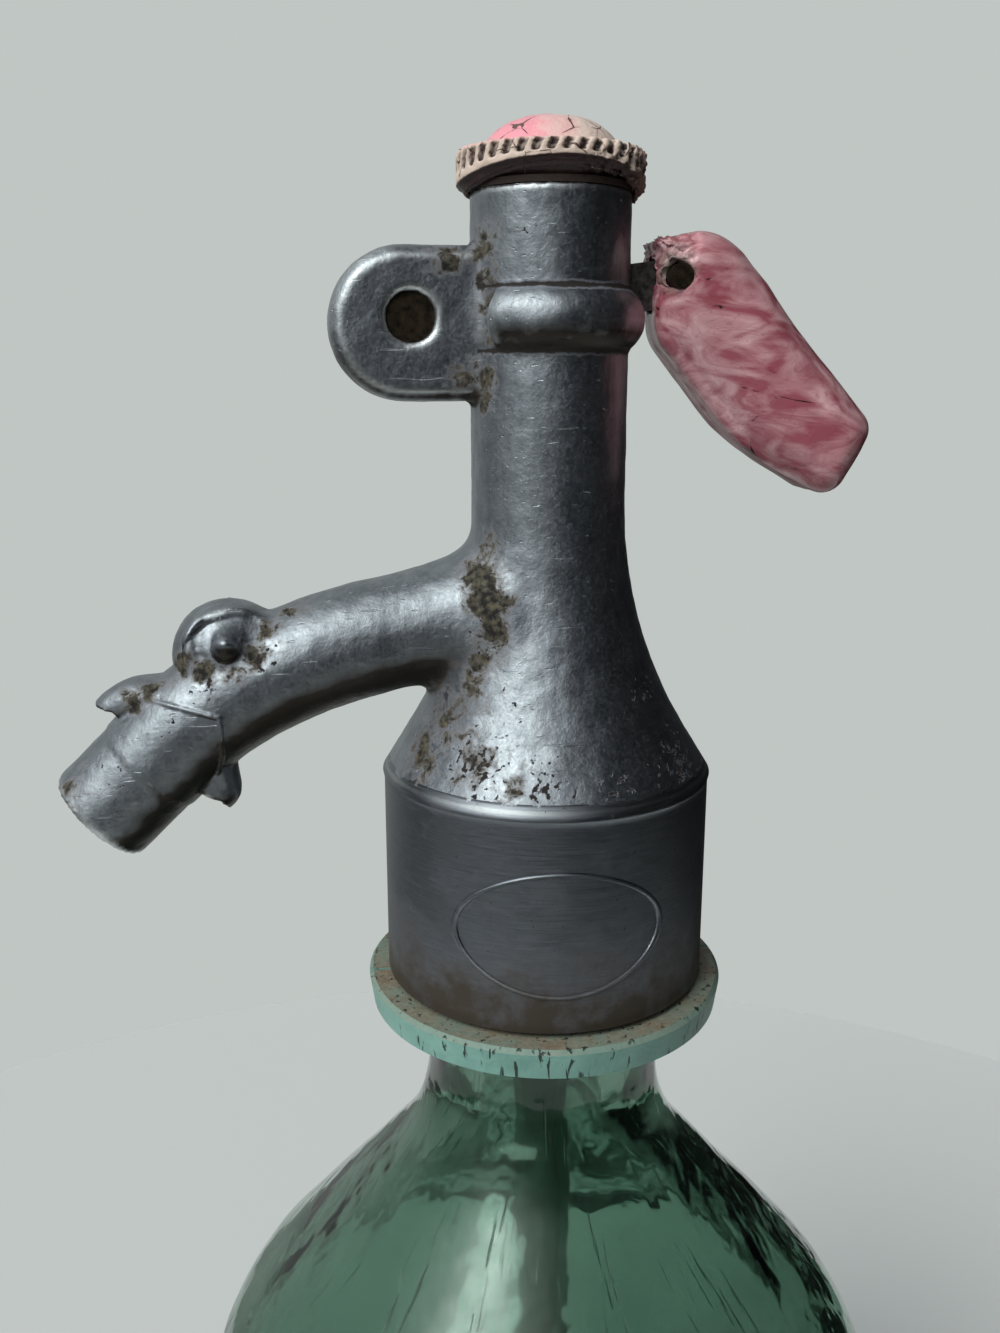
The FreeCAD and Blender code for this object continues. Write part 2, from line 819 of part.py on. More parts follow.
def make_crown():
    """Round crown on top of the spout with a grooved eye, a pupil and a brow on each side."""
    radius = size("crown_radius")
    centre = Vector(size("crown_back - nozzle_reach"), 0, size("nozzle_height + crown_rise"))
    crown = Part.makeSphere(radius, centre)
    tilt = math.radians(size("eye_tilt"))
    for side in (-1, 1):
        outward = Vector(0, side * math.cos(tilt), math.sin(tilt))
        rise = Vector(0, -side * math.sin(tilt), math.cos(tilt))
        eye = size("eye_radius")
        depth = math.sqrt(radius ** 2 - eye ** 2)
        groove = Part.makeTorus(eye, size("eye_groove"), centre + outward * depth, outward)
        brow_ring = size("brow_radius")
        brow_depth = math.sqrt(radius ** 2 - brow_ring ** 2)
        brow_centre = centre + outward * brow_depth
        brow = Part.makeTorus(brow_ring, size("brow_thick"), brow_centre, outward)
        below = Part.makeCylinder(3 * radius, 3 * radius,
                                  brow_centre - rise * (3 * radius + size("brow_clear")), rise)
        pupil = Part.makeSphere(size("pupil_radius"), centre + outward * (radius - size("pupil_sink")))
        crown = crown.cut(groove).fuse(brow.cut(below)).fuse(pupil)
    narrower = FreeCAD.Matrix()
    narrower.scale(1, size("crown_squeeze"), 1)
    return crown.transformGeometry(narrower)


def make_spout():
    """Neck and nozzle of the spout with the dolphin's head on it, before the waterway is cut."""
    length = size("nozzle_length")
    shoulder = length - size("nozzle_end_length")
    outside = curved_tube(size("neck_tube_radius"), size("nozzle_radius"), size("root_flare"))
    outside = outside.fuse(nozzle_tube(size("nozzle_radius"), 0, shoulder))
    outside = outside.fuse(nozzle_tube(size("nozzle_end_radius"), shoulder, length))
    return outside.fuse(make_lips()).fuse(make_crown())


def make_waterway():
    """The spout's bore, from the outlet chamber to past the nozzle's lip."""
    bore = size("spout_bore")
    past_lip = size("nozzle_length") + 1
    return curved_tube(bore, bore).fuse(nozzle_tube(bore, 0, past_lip))


def make_head_body():
    """The casting: blank, bead, lug and spout, less thread socket, waterway, bores and slots."""
    spout = solid_feature("spout", make_spout())
    solids = fuse("head_solids", [make_head_blank(), make_bead(), make_lug(), spout])
    outlet_top = "web_low"
    seat_top = "seat_low + seat_thick"
    waterway = solid_feature("waterway", make_waterway())
    hollows = [
        cylinder("thread_socket", "thread_radius + thread_gap", "head_seat - head_base",
                 z="head_base"),
        cone("valve_chamber", "chamber_mouth", "chamber_radius", "seat_low - head_seat",
             z="head_seat"),
        cylinder("seat_hole", "seat_bore", "web_low - seat_low", z="seat_low"),
        cylinder("outlet_chamber", "outlet_radius", "%s - (%s)" % (outlet_top, seat_top),
                 z=seat_top),
        waterway,
        cylinder("stem_hole", "stem_radius + stem_gap", "web_thick", z="web_low"),
        cylinder("spindle_bore", "barrel_bore", "barrel_top - web_top", z="web_top"),
        cylinder("cap_bore", "plug_radius", "barrel_top - spindle_top", z="spindle_top"),
        block("lever_slot", "slot_reach", "2 * slot_half_width", "slot_rise + slot_fall",
              "0 - pivot_reach", "0 - slot_half_width", "pivot_height - slot_fall"),
        cylinder("lever_pocket", "lever_eye + eye_clear", "2 * slot_half_width",
                 "0 - pivot_reach", "slot_half_width", "pivot_height", (Vector(1, 0, 0), 90)),
        cylinder("pivot_hole", "pin_radius", "2 * lug_width", "0 - pivot_reach", "lug_width",
                 "pivot_height", (Vector(1, 0, 0), 90)),
    ]
    return cut("head_body", solids, fuse("head_hollows", hollows))


# ---------------------------------------------------------------------------------------------
# Valve train inside the head
# ---------------------------------------------------------------------------------------------
def make_spindle():
    """Valve spindle: a guided head with a window for the lever, a long stem and a thin tail."""
    shoulder = "valve_top"
    tail = "nut_foot - stem_tail"
    points = [
        ("0", tail),
        ("stem_tip_radius", tail),
        ("stem_tip_radius", shoulder),
        ("stem_radius", shoulder),
        ("stem_radius", "spindle_foot"),
        ("spindle_radius", "spindle_foot"),
        ("spindle_radius", "spindle_top"),
        ("0", "spindle_top"),
    ]
    body = revolved_body("valve_spindle", points)
    sketch = new_sketch(body, "spindle_window", "XZ_Plane")
    reach = "2 * spindle_radius"
    draw_outline(sketch, [
        ("0 - " + reach, "window_centre - window_half"),
        (reach, "window_centre - window_half"),
        (reach, "window_centre + window_half"),
        ("0 - " + reach, "window_centre + window_half"),
    ])
    pocket(body, sketch, "2 * slot_half_width")
    return body


def make_valve_rubber():
    return revolved_body("valve_rubber", ring_outline("stem_tip_radius", "valve_radius",
                                                      "valve_foot", "valve_top"))


def make_valve_cup():
    """Brass cup that holds the valve rubber on its sides and from below."""
    rim = "valve_radius + cup_wall"
    half = "valve_foot + valve_thick / 2"
    points = [
        ("stem_tip_radius", "cup_foot"),
        (rim, "cup_foot"),
        (rim, half),
        ("valve_radius", half),
        ("valve_radius", "valve_foot"),
        ("stem_tip_radius", "valve_foot"),
    ]
    return revolved_body("valve_cup", points)


def make_valve_nut():
    """Hexagon nut on the spindle's tail."""
    body = new_body("valve_nut")
    sketch = new_sketch(body, "nut_hexagon", "XY_Plane", "nut_foot")
    corner = "nut_flats / sqrt(3)"
    sides = 6
    turns = [360 * side / sides for side in range(sides)]
    draw_outline(sketch, [("%s * cos(%g)" % (corner, turn), "%s * sin(%g)" % (corner, turn))
                          for turn in turns])
    pad(body, sketch, "nut_thick", both_ways=False)
    hole = new_sketch(body, "nut_hole", "XY_Plane", "nut_foot")
    draw_circle(hole, "0", "0", "stem_tip_radius")
    pocket(body, hole, "4 * nut_thick")
    return body


def make_packing():
    ring = revolved_body("packing_ring", ring_outline(
        "stem_radius + packing_fit", "barrel_bore - packing_fit", "web_top", "packing_top"))
    washer = revolved_body("packing_washer", ring_outline(
        "stem_radius + washer_gap", "barrel_bore - washer_gap", "packing_top", "spring_foot"))
    return [ring, washer]


def make_return_spring():
    """Helical spring with ground ends between the packing washer and the spindle's head."""
    low, high = size("spring_foot"), size("spindle_foot")
    wire, coil, turns = size("wire_radius"), size("coil_radius"), size("coil_turns")
    rise = (high - low - 2 * wire) / turns
    helix = Part.makeHelix(rise, rise * turns, coil)
    helix.translate(Vector(0, 0, low + wire))
    start = helix.Edges[0].valueAt(helix.Edges[0].FirstParameter)
    profile = Part.Wire([Part.Circle(start, Y_AXIS, wire).toShape()])
    spring = Part.Wire(helix.Edges).makePipeShell([profile], True, True)
    return solid_feature("return_spring", spring)


# ---------------------------------------------------------------------------------------------
# Lever, grip and their pins
# ---------------------------------------------------------------------------------------------
def lever_outline(half, past):
    """Arm and tang about their centre line, from the pivot; past lengthens the tang."""
    knee_z = "knee_reach * tan(rest_tilt)"
    mitre = "(%s) / cos((rest_tilt + tang_drop) / 2)" % half
    lean = "((tang_drop - rest_tilt) / 2)"
    end_x = "(knee_reach + (tang_length + %s) * cos(tang_drop))" % past
    end_z = "(%s - (tang_length + %s) * sin(tang_drop))" % (knee_z, past)
    return [
        ("(%s) * sin(rest_tilt)" % half, "0 - (%s) * cos(rest_tilt)" % half),
        ("knee_reach - %s * sin%s" % (mitre, lean), "%s - %s * cos%s" % (knee_z, mitre, lean)),
        ("%s - (%s) * sin(tang_drop)" % (end_x, half), "%s - (%s) * cos(tang_drop)" % (end_z, half)),
        ("%s + (%s) * sin(tang_drop)" % (end_x, half), "%s + (%s) * cos(tang_drop)" % (end_z, half)),
        ("knee_reach + %s * sin%s" % (mitre, lean), "%s + %s * cos%s" % (knee_z, mitre, lean)),
        ("0 - (%s) * sin(rest_tilt)" % half, "(%s) * cos(rest_tilt)" % half),
    ]


def place_at_pivot(thing):
    place(thing, x="0 - pivot_reach", z="pivot_height")


def grip_pin_hole(body, name, radius):
    """Cuts the cross pin's hole through a body that is drawn from the pivot."""
    sketch = new_sketch(body, name, "XZ_Plane")
    draw_circle(sketch, "grip_pin_reach", "grip_pin_rise", radius)
    pocket(body, sketch, "2 * grip_width")


def make_lever():
    """Flat steel lever: an eye on the pivot pin, a straight arm and a tang bent into the grip."""
    body = new_body("lever_arm")
    eye = new_sketch(body, "lever_eye_outline", "XZ_Plane")
    draw_circle(eye, "0", "0", "lever_eye")
    pad(body, eye, "lever_thick")
    arm = new_sketch(body, "lever_arm_outline", "XZ_Plane")
    draw_outline(arm, lever_outline("lever_half", "0"))
    pad(body, arm, "lever_thick")
    bore = new_sketch(body, "lever_eye_bore", "XZ_Plane")
    draw_circle(bore, "0", "0", "pin_radius + pin_gap")
    pocket(body, bore, "2 * lever_thick")
    grip_pin_hole(body, "lever_pin_hole", "grip_pin_radius + grip_pin_fit")
    place_at_pivot(body)
    return body


def make_lever_pin():
    """Pivot pin pressed into both walls of the lug, its ends a little below the surface."""
    length = "lug_width - 2 * pin_recess"
    return cylinder("lever_pin", "pin_radius", length, "0 - pivot_reach",
                    "lug_width / 2 - pin_recess", "pivot_height", (Vector(1, 0, 0), 90))


def make_grip():
    """Moulded grip: flat beside the barrel, a shoulder, then a drooping tail."""
    body = new_body("grip")
    sketch = new_sketch(body, "grip_outline", "XZ_Plane")
    corners = {
        "shoulder": ("grip_shoulder_reach", "grip_shoulder_rise", "grip_shoulder_round"),
        "tip": ("grip_tip_reach", "0 - grip_tip_drop", "grip_tip_round"),
        "heel": ("grip_heel_reach", "0 - grip_heel_drop", "grip_heel_round"),
        "belly": ("grip_belly_reach", "0 - grip_belly_drop", "grip_belly_round"),
        "throat": ("grip_throat_reach", "0 - grip_throat_drop", "grip_throat_round"),
    }
    outline = [("grip_start", "grip_top")] + [corner[:2] for corner in corners.values()]
    draw_outline(sketch, outline)
    pad(body, sketch, "grip_width")
    for name, (x, z, radius) in corners.items():
        dress(body, "Fillet", corner_at(x, z), radius, "grip_%s_round" % name)
    inner_face = size("grip_start")
    half_width = size("grip_width / 2")

    def long_edge(edge):
        ends = [vertex.Point for vertex in edge.Vertexes]
        on_side = all(abs(abs(point.y) - half_width) < 0.01 for point in ends)
        level = abs(ends[0].y - ends[-1].y) < 0.01
        return on_side and level and min(point.x for point in ends) > inner_face - 0.01
    dress(body, "Fillet", long_edge, "grip_edge_round", "grip_edges")
    socket = new_sketch(body, "grip_socket", "XZ_Plane")
    draw_outline(socket, lever_outline("lever_half + tang_fit", "tang_fit"))
    pocket(body, socket, "lever_thick + 2 * tang_fit")
    grip_pin_hole(body, "grip_pin_hole", "grip_pin_radius + grip_pin_fit")
    place_at_pivot(body)
    return body


def make_grip_pin():
    """Cross pin that holds the grip on the lever's tang."""
    return cylinder("grip_pin", "grip_pin_radius", "grip_width - 2 * grip_pin_recess",
                    "grip_pin_reach - pivot_reach", "grip_width / 2 - grip_pin_recess",
                    "pivot_height + grip_pin_rise", (Vector(1, 0, 0), 90))


# ---------------------------------------------------------------------------------------------
# Screw cap
# ---------------------------------------------------------------------------------------------
def make_cap_washer():
    return revolved_body("cap_washer", ring_outline(
        "plug_radius + plug_gap", "barrel_radius - plug_gap", "barrel_top", "cap_seat"))


def make_screw_cap():
    """Knurled cap: a plug that screws into the barrel, a notched skirt and a low dome."""
    plug = "plug_radius - plug_gap"
    dome_top = "cap_brim + dome_height"
    crown = "((dome_radius - dome_flat) ^ 2 + dome_height ^ 2) / (2 * dome_height)"
    points = [
        ("0", "barrel_top - plug_depth"),
        (plug, "barrel_top - plug_depth"),
        (plug, "cap_seat"),
        ("barrel_radius + cap_overlap_gap", "cap_seat"),
        ("barrel_radius + cap_overlap_gap", "cap_seat - cap_overlap"),
        ("cap_radius - cap_lip_round", "cap_seat - cap_overlap"),
        ("cap_radius", "cap_seat - cap_overlap + cap_lip_round"),
        ("cap_radius", "cap_brim"),
        ("dome_radius", "cap_brim"),
        ("dome_flat", dome_top),
        ("0", dome_top),
    ]
    body = revolved_body("screw_cap", points, {5: ("cap_lip_round", 1), 8: (crown, -1)})
    dress(body, "Fillet", circle_at("cap_radius", "cap_brim"), "notch_depth", "cap_rim_round")
    notch = new_sketch(body, "cap_notch", "YZ_Plane", "cap_radius")
    low = "cap_brim - notch_height"
    draw_outline(notch, [
        ("0 - notch_width / 2 - notch_slant / 2", low),
        ("notch_width / 2 - notch_slant / 2", low),
        ("notch_width / 2 + notch_slant / 2", "cap_brim + notch_depth"),
        ("0 - notch_width / 2 + notch_slant / 2", "cap_brim + notch_depth"),
    ])
    first = pocket(body, notch, "notch_depth", both_ways=False)
    ring = body.newObject("PartDesign::PolarPattern", "cap_notches")
    ring.Originals = [first]
    ring.Axis = ([item for item in body.Origin.OriginFeatures if item.Role == "Z_Axis"][0], [""])
    ring.Angle = 360
    drive(ring, "Occurrences", "notch_count")
    body.Tip = ring
    doc.recompute()
    return body


# ---------------------------------------------------------------------------------------------
# Build, check and write
# ---------------------------------------------------------------------------------------------
def make_parts():
    parts = [
        make_bottle(),
        make_neck_ring("neck_ring_front", -90),
        make_neck_ring("neck_ring_back", 90),
        make_gasket("lip_gasket", "lip_top", "mouth_radius"),
        make_gasket("head_gasket", "tube_top", "chamber_mouth"),
        make_tube_holder(),
        make_tube_seal(),
        make_dip_tube(),
        make_head_body(),
        make_spindle(),
        make_valve_rubber(),
        make_valve_cup(),
        make_valve_nut(),
        make_return_spring(),
        make_lever(),
        make_lever_pin(),
        make_grip(),
        make_grip_pin(),
        make_cap_washer(),
        make_screw_cap(),
    ]
    return parts + make_packing()


def check(parts):
    """Stops with a plain message if any object failed or any part isn't one valid solid."""
    for item in doc.Objects:
        if "Invalid" in item.State or "Error" in item.State:
            raise RuntimeError("%s is %s" % (item.Name, item.State))
    for part in parts:
        shape = part.Shape
        if shape.isNull() or not shape.isValid() or len(shape.Solids) != 1:
            raise RuntimeError("%s is not one valid solid" % part.Label)


def write(parts):
    os.makedirs("parts", exist_ok=True)
    for part in parts:
        part.Shape.exportStep("parts/%s.step" % part.Label)
        print("%-18s %10.1f mm3" % (part.Label, part.Shape.Volume))


all_parts = make_parts()
doc.recompute()
check(all_parts)
write(all_parts)
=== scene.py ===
import json
import math

import bmesh
import bpy
import numpy as np
from mathutils import Matrix, Vector


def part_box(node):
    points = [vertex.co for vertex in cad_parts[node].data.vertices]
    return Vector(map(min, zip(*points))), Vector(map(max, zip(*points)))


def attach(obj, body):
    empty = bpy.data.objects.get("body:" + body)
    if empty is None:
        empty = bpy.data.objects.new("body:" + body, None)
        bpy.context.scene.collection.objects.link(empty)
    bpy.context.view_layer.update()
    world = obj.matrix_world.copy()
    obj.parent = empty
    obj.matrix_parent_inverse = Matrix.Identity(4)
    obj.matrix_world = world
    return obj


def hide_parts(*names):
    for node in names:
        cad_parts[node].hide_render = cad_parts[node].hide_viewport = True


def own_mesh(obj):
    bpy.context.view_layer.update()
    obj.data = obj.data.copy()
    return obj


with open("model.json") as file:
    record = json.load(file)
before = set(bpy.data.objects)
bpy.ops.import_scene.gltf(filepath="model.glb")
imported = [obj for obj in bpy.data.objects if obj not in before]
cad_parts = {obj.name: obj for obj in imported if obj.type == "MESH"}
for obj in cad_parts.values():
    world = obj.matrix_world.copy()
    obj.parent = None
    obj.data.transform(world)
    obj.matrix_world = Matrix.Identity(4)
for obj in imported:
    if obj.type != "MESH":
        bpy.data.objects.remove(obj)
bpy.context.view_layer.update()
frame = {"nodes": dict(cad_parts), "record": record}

MM = 0.001


def middle(node):
    low_corner, high_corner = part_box(node)
    return (low_corner + high_corner) / 2


# Places read from the parts
PIVOT, GRIP_PIN = middle("lever_pin"), middle("grip_pin")
GRIP_LOW, GRIP_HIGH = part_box("grip")
HEAD_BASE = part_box("head_body")[0].z
BOTTLE_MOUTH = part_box("neck_ring_front")[0].z
CAP_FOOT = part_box("cap_washer")[1].z
CAP_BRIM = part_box("screw_cap")[1].z - 4 * MM

# Sizes of the head, from its lower edge
COLLAR_HEIGHT = 29.8 * MM
COLLAR_RADIUS = 22.5 * MM
BELL_FOOT = HEAD_BASE + COLLAR_HEIGHT
COLLAR_END = BELL_FOOT + 0.9 * MM
BELL_REACH = 30 * MM
BARREL_RADIUS = 10.2 * MM
SPOUT_ROOT = Vector((-BARREL_RADIUS, 0, HEAD_BASE + 50.5 * MM))
LUG_ROOT = Vector((-BARREL_RADIUS, 0, PIVOT.z))
BEAD_HEIGHT, BEAD_HALF = PIVOT.z - 0.2 * MM, 3.75 * MM
BEAD_REACH, BEAD_TURN = 12.6 * MM, 45

# The dolphin's head, from its nape to the spout's end. The crown carries the eye, and the mouth
# is placed from the start of the straight nozzle and from its slope.
NAPE = -34 * MM
CROWN = Vector((-42.4 * MM, 0, HEAD_BASE + 46.2 * MM))
EYE = Vector((-42.55 * MM, 0, HEAD_BASE + 48.3 * MM))
NOZZLE_START = Vector((-50 * MM, 0, HEAD_BASE + 35 * MM))
NOZZLE_FALL = math.radians(44)


# ---------------------------------------------------------------------------------------------
# Modelling helpers
# ---------------------------------------------------------------------------------------------
def activate(piece):
    if bpy.context.object and bpy.context.object.mode != "OBJECT":
        bpy.ops.object.mode_set(mode="OBJECT")
    bpy.ops.object.select_all(action="DESELECT")
    piece.select_set(True)
    bpy.context.view_layer.objects.active = piece


def open_mesh(piece):
    """Edit mode on the piece, with nothing selected."""
    activate(piece)
    bpy.ops.object.mode_set(mode="EDIT")
    bpy.ops.mesh.select_all(action="DESELECT")


def close_mesh():
    bpy.ops.object.mode_set(mode="OBJECT")


def pick(piece, kind, wanted):
    """Adds to the selection the verts, edges or faces for which wanted(element) is true."""
    mesh = bmesh.from_edit_mesh(piece.data)
    for element in getattr(mesh, kind):
        if wanted(element):
            element.select_set(True)
    bmesh.update_edit_mesh(piece.data)


def copy_node(node, name):
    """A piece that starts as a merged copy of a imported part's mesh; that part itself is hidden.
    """
    piece = bpy.data.objects.new(name, frame["nodes"][node].data.copy())
    bpy.context.scene.collection.objects.link(piece)
    piece.data.materials.clear()
    open_mesh(piece)
    bpy.ops.mesh.select_all(action="SELECT")
    bpy.ops.mesh.remove_doubles(threshold=0.001 * MM)
    close_mesh()
    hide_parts(node)
    return piece


def slice_mesh(piece, height, keep_above, reach=1.0):
    """Cuts the piece level within a reach of the axis and fills the cut, which stays selected."""
    open_mesh(piece)
    pick(piece, "faces", lambda face: face.calc_center_median().xy.length < reach)
    bpy.ops.mesh.bisect(plane_co=(0, 0, height), plane_no=(0, 0, 1), use_fill=True,
                        clear_inner=keep_above, clear_outer=not keep_above)


def modify(piece, kind, **settings):
    """Adds one modifier with its settings and applies it."""
    activate(piece)
    made = piece.modifiers.new(kind.lower(), kind)
    for name, value in settings.items():
        setattr(made, name, value)
    bpy.ops.object.modifier_apply(modifier=made.name)


def weigh(piece, name, weight_at):
    """A vertex group whose weight at each vertex of the mesh is weight_at(vertex)."""
    group = piece.vertex_groups.new(name=name)
    for vertex in piece.data.vertices:
        weight = weight_at(vertex)
        if weight > 0:
            group.add([vertex.index], min(weight, 1), "REPLACE")
    return name


def clamp(value):
    """The value kept between 0 and 1."""
    return min(max(value, 0), 1)


def near(point, centre, reach):
    """1 at the centre, falling to 0 at the reach."""
    return max(0.0, 1 - (point - centre).length / reach)


def off_line(point, line):
    """How far the point, mirrored to the camera's side, is from the nearest stretch of a line."""
    here = Vector((point.x, -abs(point.y), point.z))
    nearest = 1.0
    for start, end in zip(line, line[1:]):
        run = end - start
        along = clamp((here - start).dot(run) / run.length_squared)
        nearest = min(nearest, (here - start - run * along).length)
    return nearest


def paint(piece, name, spots):
    """Stores on each vertex how strong the strongest of some soft spots is, on both sides."""
    marks = piece.data.attributes.new(name, "FLOAT", "POINT").data
    centres = [(Vector((x, y, z)) * MM + Vector((0, 0, HEAD_BASE)), reach * MM, strength)
               for x, y, z, reach, strength in spots]
    for index, vertex in enumerate(piece.data.vertices):
        here = Vector((vertex.co.x, -abs(vertex.co.y), vertex.co.z))
        marks[index].value = max(near(here, centre, reach) * strength
                                 for centre, reach, strength in centres)


def clouds(name, grain, depth=2):
    """Procedural clouds for a displacement, with lumps about as large as the grain."""
    texture = bpy.data.textures.new(name, "CLOUDS")
    texture.noise_scale = grain
    texture.noise_depth = depth
    return texture


def places_of(mesh, kind="co"):
    """Places or normals of all the mesh's vertices, one row each."""
    numbers = np.zeros(len(mesh.vertices) * 3)
    mesh.vertices.foreach_get(kind, numbers)
    return numbers.reshape(-1, 3)


def mark_wear(piece, softness):
    """Stores as "wear" how far, in mm, each point stands out of the piece's smoothed form."""
    smoothed = bpy.data.objects.new("smoothed", piece.data.copy())
    bpy.context.scene.collection.objects.link(smoothed)
    modify(smoothed, "SMOOTH", iterations=softness)
    shift = places_of(piece.data) - places_of(smoothed.data)
    proud = (shift * places_of(piece.data, "normal")).sum(axis=1) / MM
    piece.data.attributes.new("wear", "FLOAT", "POINT").data.foreach_set("value", proud)
    bpy.data.objects.remove(smoothed)


def spin_section(piece, longest, steps):
    """Leaves the open mesh's half section, divides its long edges and spins it round again.

    No edge stays over one and a half times the longest length asked for.
    """
    bpy.ops.mesh.select_all(action="SELECT")
    bpy.ops.mesh.bisect(plane_co=(0, 0, 0), plane_no=(0, 1, 0), clear_inner=True,
                        clear_outer=True)
    bpy.ops.mesh.select_all(action="DESELECT")
    pick(piece, "verts", lambda vert: vert.co.x > 0.002 * MM)
    bpy.ops.mesh.delete(type="VERT")
    for cuts in (63, 31, 15, 7, 3, 1):
        bpy.ops.mesh.select_all(action="DESELECT")
        pick(piece, "edges", lambda edge: edge.calc_length() > longest * cuts)
        bpy.ops.mesh.subdivide(number_cuts=cuts)
    bpy.ops.mesh.select_all(action="SELECT")
    bpy.ops.mesh.spin(steps=steps, angle=2 * math.pi, center=(0, 0, 0), axis=(0, 0, 1))
    bpy.ops.mesh.select_all(action="SELECT")
    bpy.ops.mesh.remove_doubles(threshold=0.005 * MM)
    bpy.ops.mesh.normals_make_consistent(inside=False)
    close_mesh()


def smooth_shade(piece, angle=35):
    activate(piece)
    bpy.ops.object.shade_smooth_by_angle(angle=math.radians(angle))


# ---------------------------------------------------------------------------------------------
# Head casting and turned collar
# ---------------------------------------------------------------------------------------------
# Dirt caked where the spout and the lug join the barrel and round the eye, and pitted places.
# A line holds spots of x, y, z over the head's lower edge, reach, all in mm, and strength.
CRUST = [
    (-10.6, -6.5, 60.0, 4.5, 1.0), (-10.0, -7.8, 57.0, 5.0, 1.2), (-9.3, -9.2, 54.0, 4.6, 1.2),
    (-9.0, -10.0, 50.5, 3.6, 1.2), (-10.2, -10.0, 46.5, 4.0, 0.75),
    (-12.0, -9.6, 42.5, 6.0, 0.72), (-14.6, -9.2, 38.5, 7.0, 0.72), (-17.5, -8.4, 34.5, 7.0, 0.78),
    (-12.0, -14.2, 34.5, 6.5, 0.62), (-8.0, -18.2, 32.5, 5.0, 0.55),
    (-9.3, -5.2, 97.4, 4.0, 1.0), (-9.3, -5.6, 94.0, 3.4, 1.1), (-9.3, -5.2, 90.5, 3.0, 0.8),
    (-9.3, -5.6, 86.0, 2.6, 0.8), (-9.3, -5.4, 82.0, 3.2, 1.1), (-9.3, -5.0, 79.0, 3.0, 0.9),
    (-13.2, -4.2, 95.5, 4.2, 0.75), (-11.6, -4.2, 82.0, 3.6, 0.7),
    (-48.2, -4.0, 46.4, 3.2, 0.9), (-45.4, -5.4, 45.4, 3.0, 0.9), (-41.8, -6.6, 45.6, 2.8, 0.9),
    (-39.0, -6.4, 47.6, 2.8, 0.9), (-37.3, -5.0, 50.6, 3.0, 0.9), (-34.0, -3.0, 52.5, 3.2, 0.6),
    (-52.5, -3.4, 43.2, 4.0, 0.8), (-55.0, -3.0, 40.8, 3.2, 0.8), (-62.0, -4.0, 30.0, 4.0, 0.6),
]
PITTED = [
    (-11.4, -15.2, 34.0, 10.0, 1.3), (-4.0, -20.0, 32.0, 9.0, 1.2), (4.8, -20.4, 31.8, 7.0, 1.2),
    (15.1, -14.0, 32.4, 10.0, 1.3), (11.1, -10.7, 41.9, 7.0, 1.1), (-6.5, -12.7, 40.0, 9.0, 1.0),
    (-9.0, -9.5, 50.0, 8.0, 1.0), (-45.0, -6.0, 43.5, 7.0, 1.1), (-50.0, -6.0, 38.5, 6.0, 1.1),
    (-38.0, -6.5, 46.5, 6.0, 1.0), (-30.0, -7.5, 49.0, 6.0, 0.8), (-57.0, -6.0, 32.0, 6.0, 0.9),
    (-5.0, -9.0, 98.0, 6.0, 0.9), (-6.0, -9.0, 70.0, 8.0, 0.6),
]


def mouth_point(along, rise, across):
    """A point given along the nozzle from its start, up from its axis and across it, in mm."""
    ahead = Vector((-math.cos(NOZZLE_FALL), 0, -math.sin(NOZZLE_FALL)))
    up = Vector((-math.sin(NOZZLE_FALL), 0, math.cos(NOZZLE_FALL)))
    return NOZZLE_START + (ahead * along + up * rise) * MM + Vector((0, across * MM, 0))


MOUTH_LINE = [mouth_point(*place) for place in (
    (3.3, 10.3, 0), (0.5, 8.9, -1.6), (-2.1, 6.9, -3.3), (-5.2, 3.4, -7.0), (-7.8, -1.0, -7.8),
    (-5.8, -3.1, -7.1), (-3.9, -5.0, -5.9), (0, -7.2, -3.4), (2.2, -8.2, -2.0))]
LIPS = (mouth_point(1, 9.5, 0), mouth_point(0, -9.5, 0))
# The eye, in mm: the brow's line to the right of the pupil and above it, the pupil's radius, and
# how far round the pupil the eye is carved. Nearer to the middle than the sides, nothing is.
BROW = [(-5.6, -4.2, -2.3, 0.8, 3.1, 4.8), (0.3, 2.1, 3.3, 4.2, 4.0, 2.8)]
PUPIL = 1.8
CARVED = 7
SIDE_START = 1.4 * MM


def carve_eye(piece):
    """Levels the eye's place, sinks it under an arched brow and raises a round pupil in it."""
    def around(vertex):
        away = math.hypot(vertex.co.x - EYE.x, vertex.co.z - EYE.z)
        return (6.9 * MM - away) / MM if abs(vertex.co.y) > SIDE_START else 0
    modify(piece, "SMOOTH", iterations=40, vertex_group=weigh(piece, "eye", around))
    for vertex in piece.data.vertices:
        right, up = (vertex.co.x - EYE.x) / MM, (vertex.co.z - EYE.z) / MM
        if abs(vertex.co.y) < SIDE_START or math.hypot(right, up) > CARVED:
            continue
        arch = np.interp(right, *BROW, left=-9, right=-9)
        under = clamp((arch - up) / 0.45) * clamp((up + 3.2) / 2.4)
        ball = math.sqrt(max(0, PUPIL ** 2 - right ** 2 - up ** 2))
        ridge = max(0, 1 - abs(up - arch - 0.55) / 0.6)
        rise = (0.9 * ball + 0.15 * ridge - 0.42 * under) * MM
        side = math.copysign(1, vertex.co.y)
        vertex.co += Vector((0, 0.94 * side, 0.34)) * rise


def round_bead_ends(piece):
    """Lets the bead's two ends, beside the lug, run down to the barrel like a finger's end."""
    for vertex in piece.data.vertices:
        x, y, z = vertex.co
        turn = math.degrees(math.atan2(abs(y), -x))
        radius, level = math.hypot(x, y), (z - BEAD_HEIGHT) / (1.08 * BEAD_HALF)
        if 30 < turn < BEAD_TURN and abs(level) < 1 and BARREL_RADIUS < radius < BEAD_REACH:
            across = 1 - level ** 2
            left = max(0, across - ((BEAD_TURN - turn) / 9) ** 2) / across
            wanted = BARREL_RADIUS + (radius - BARREL_RADIUS) * math.sqrt(left)
            vertex.co = (x * wanted / radius, y * wanted / radius, z)


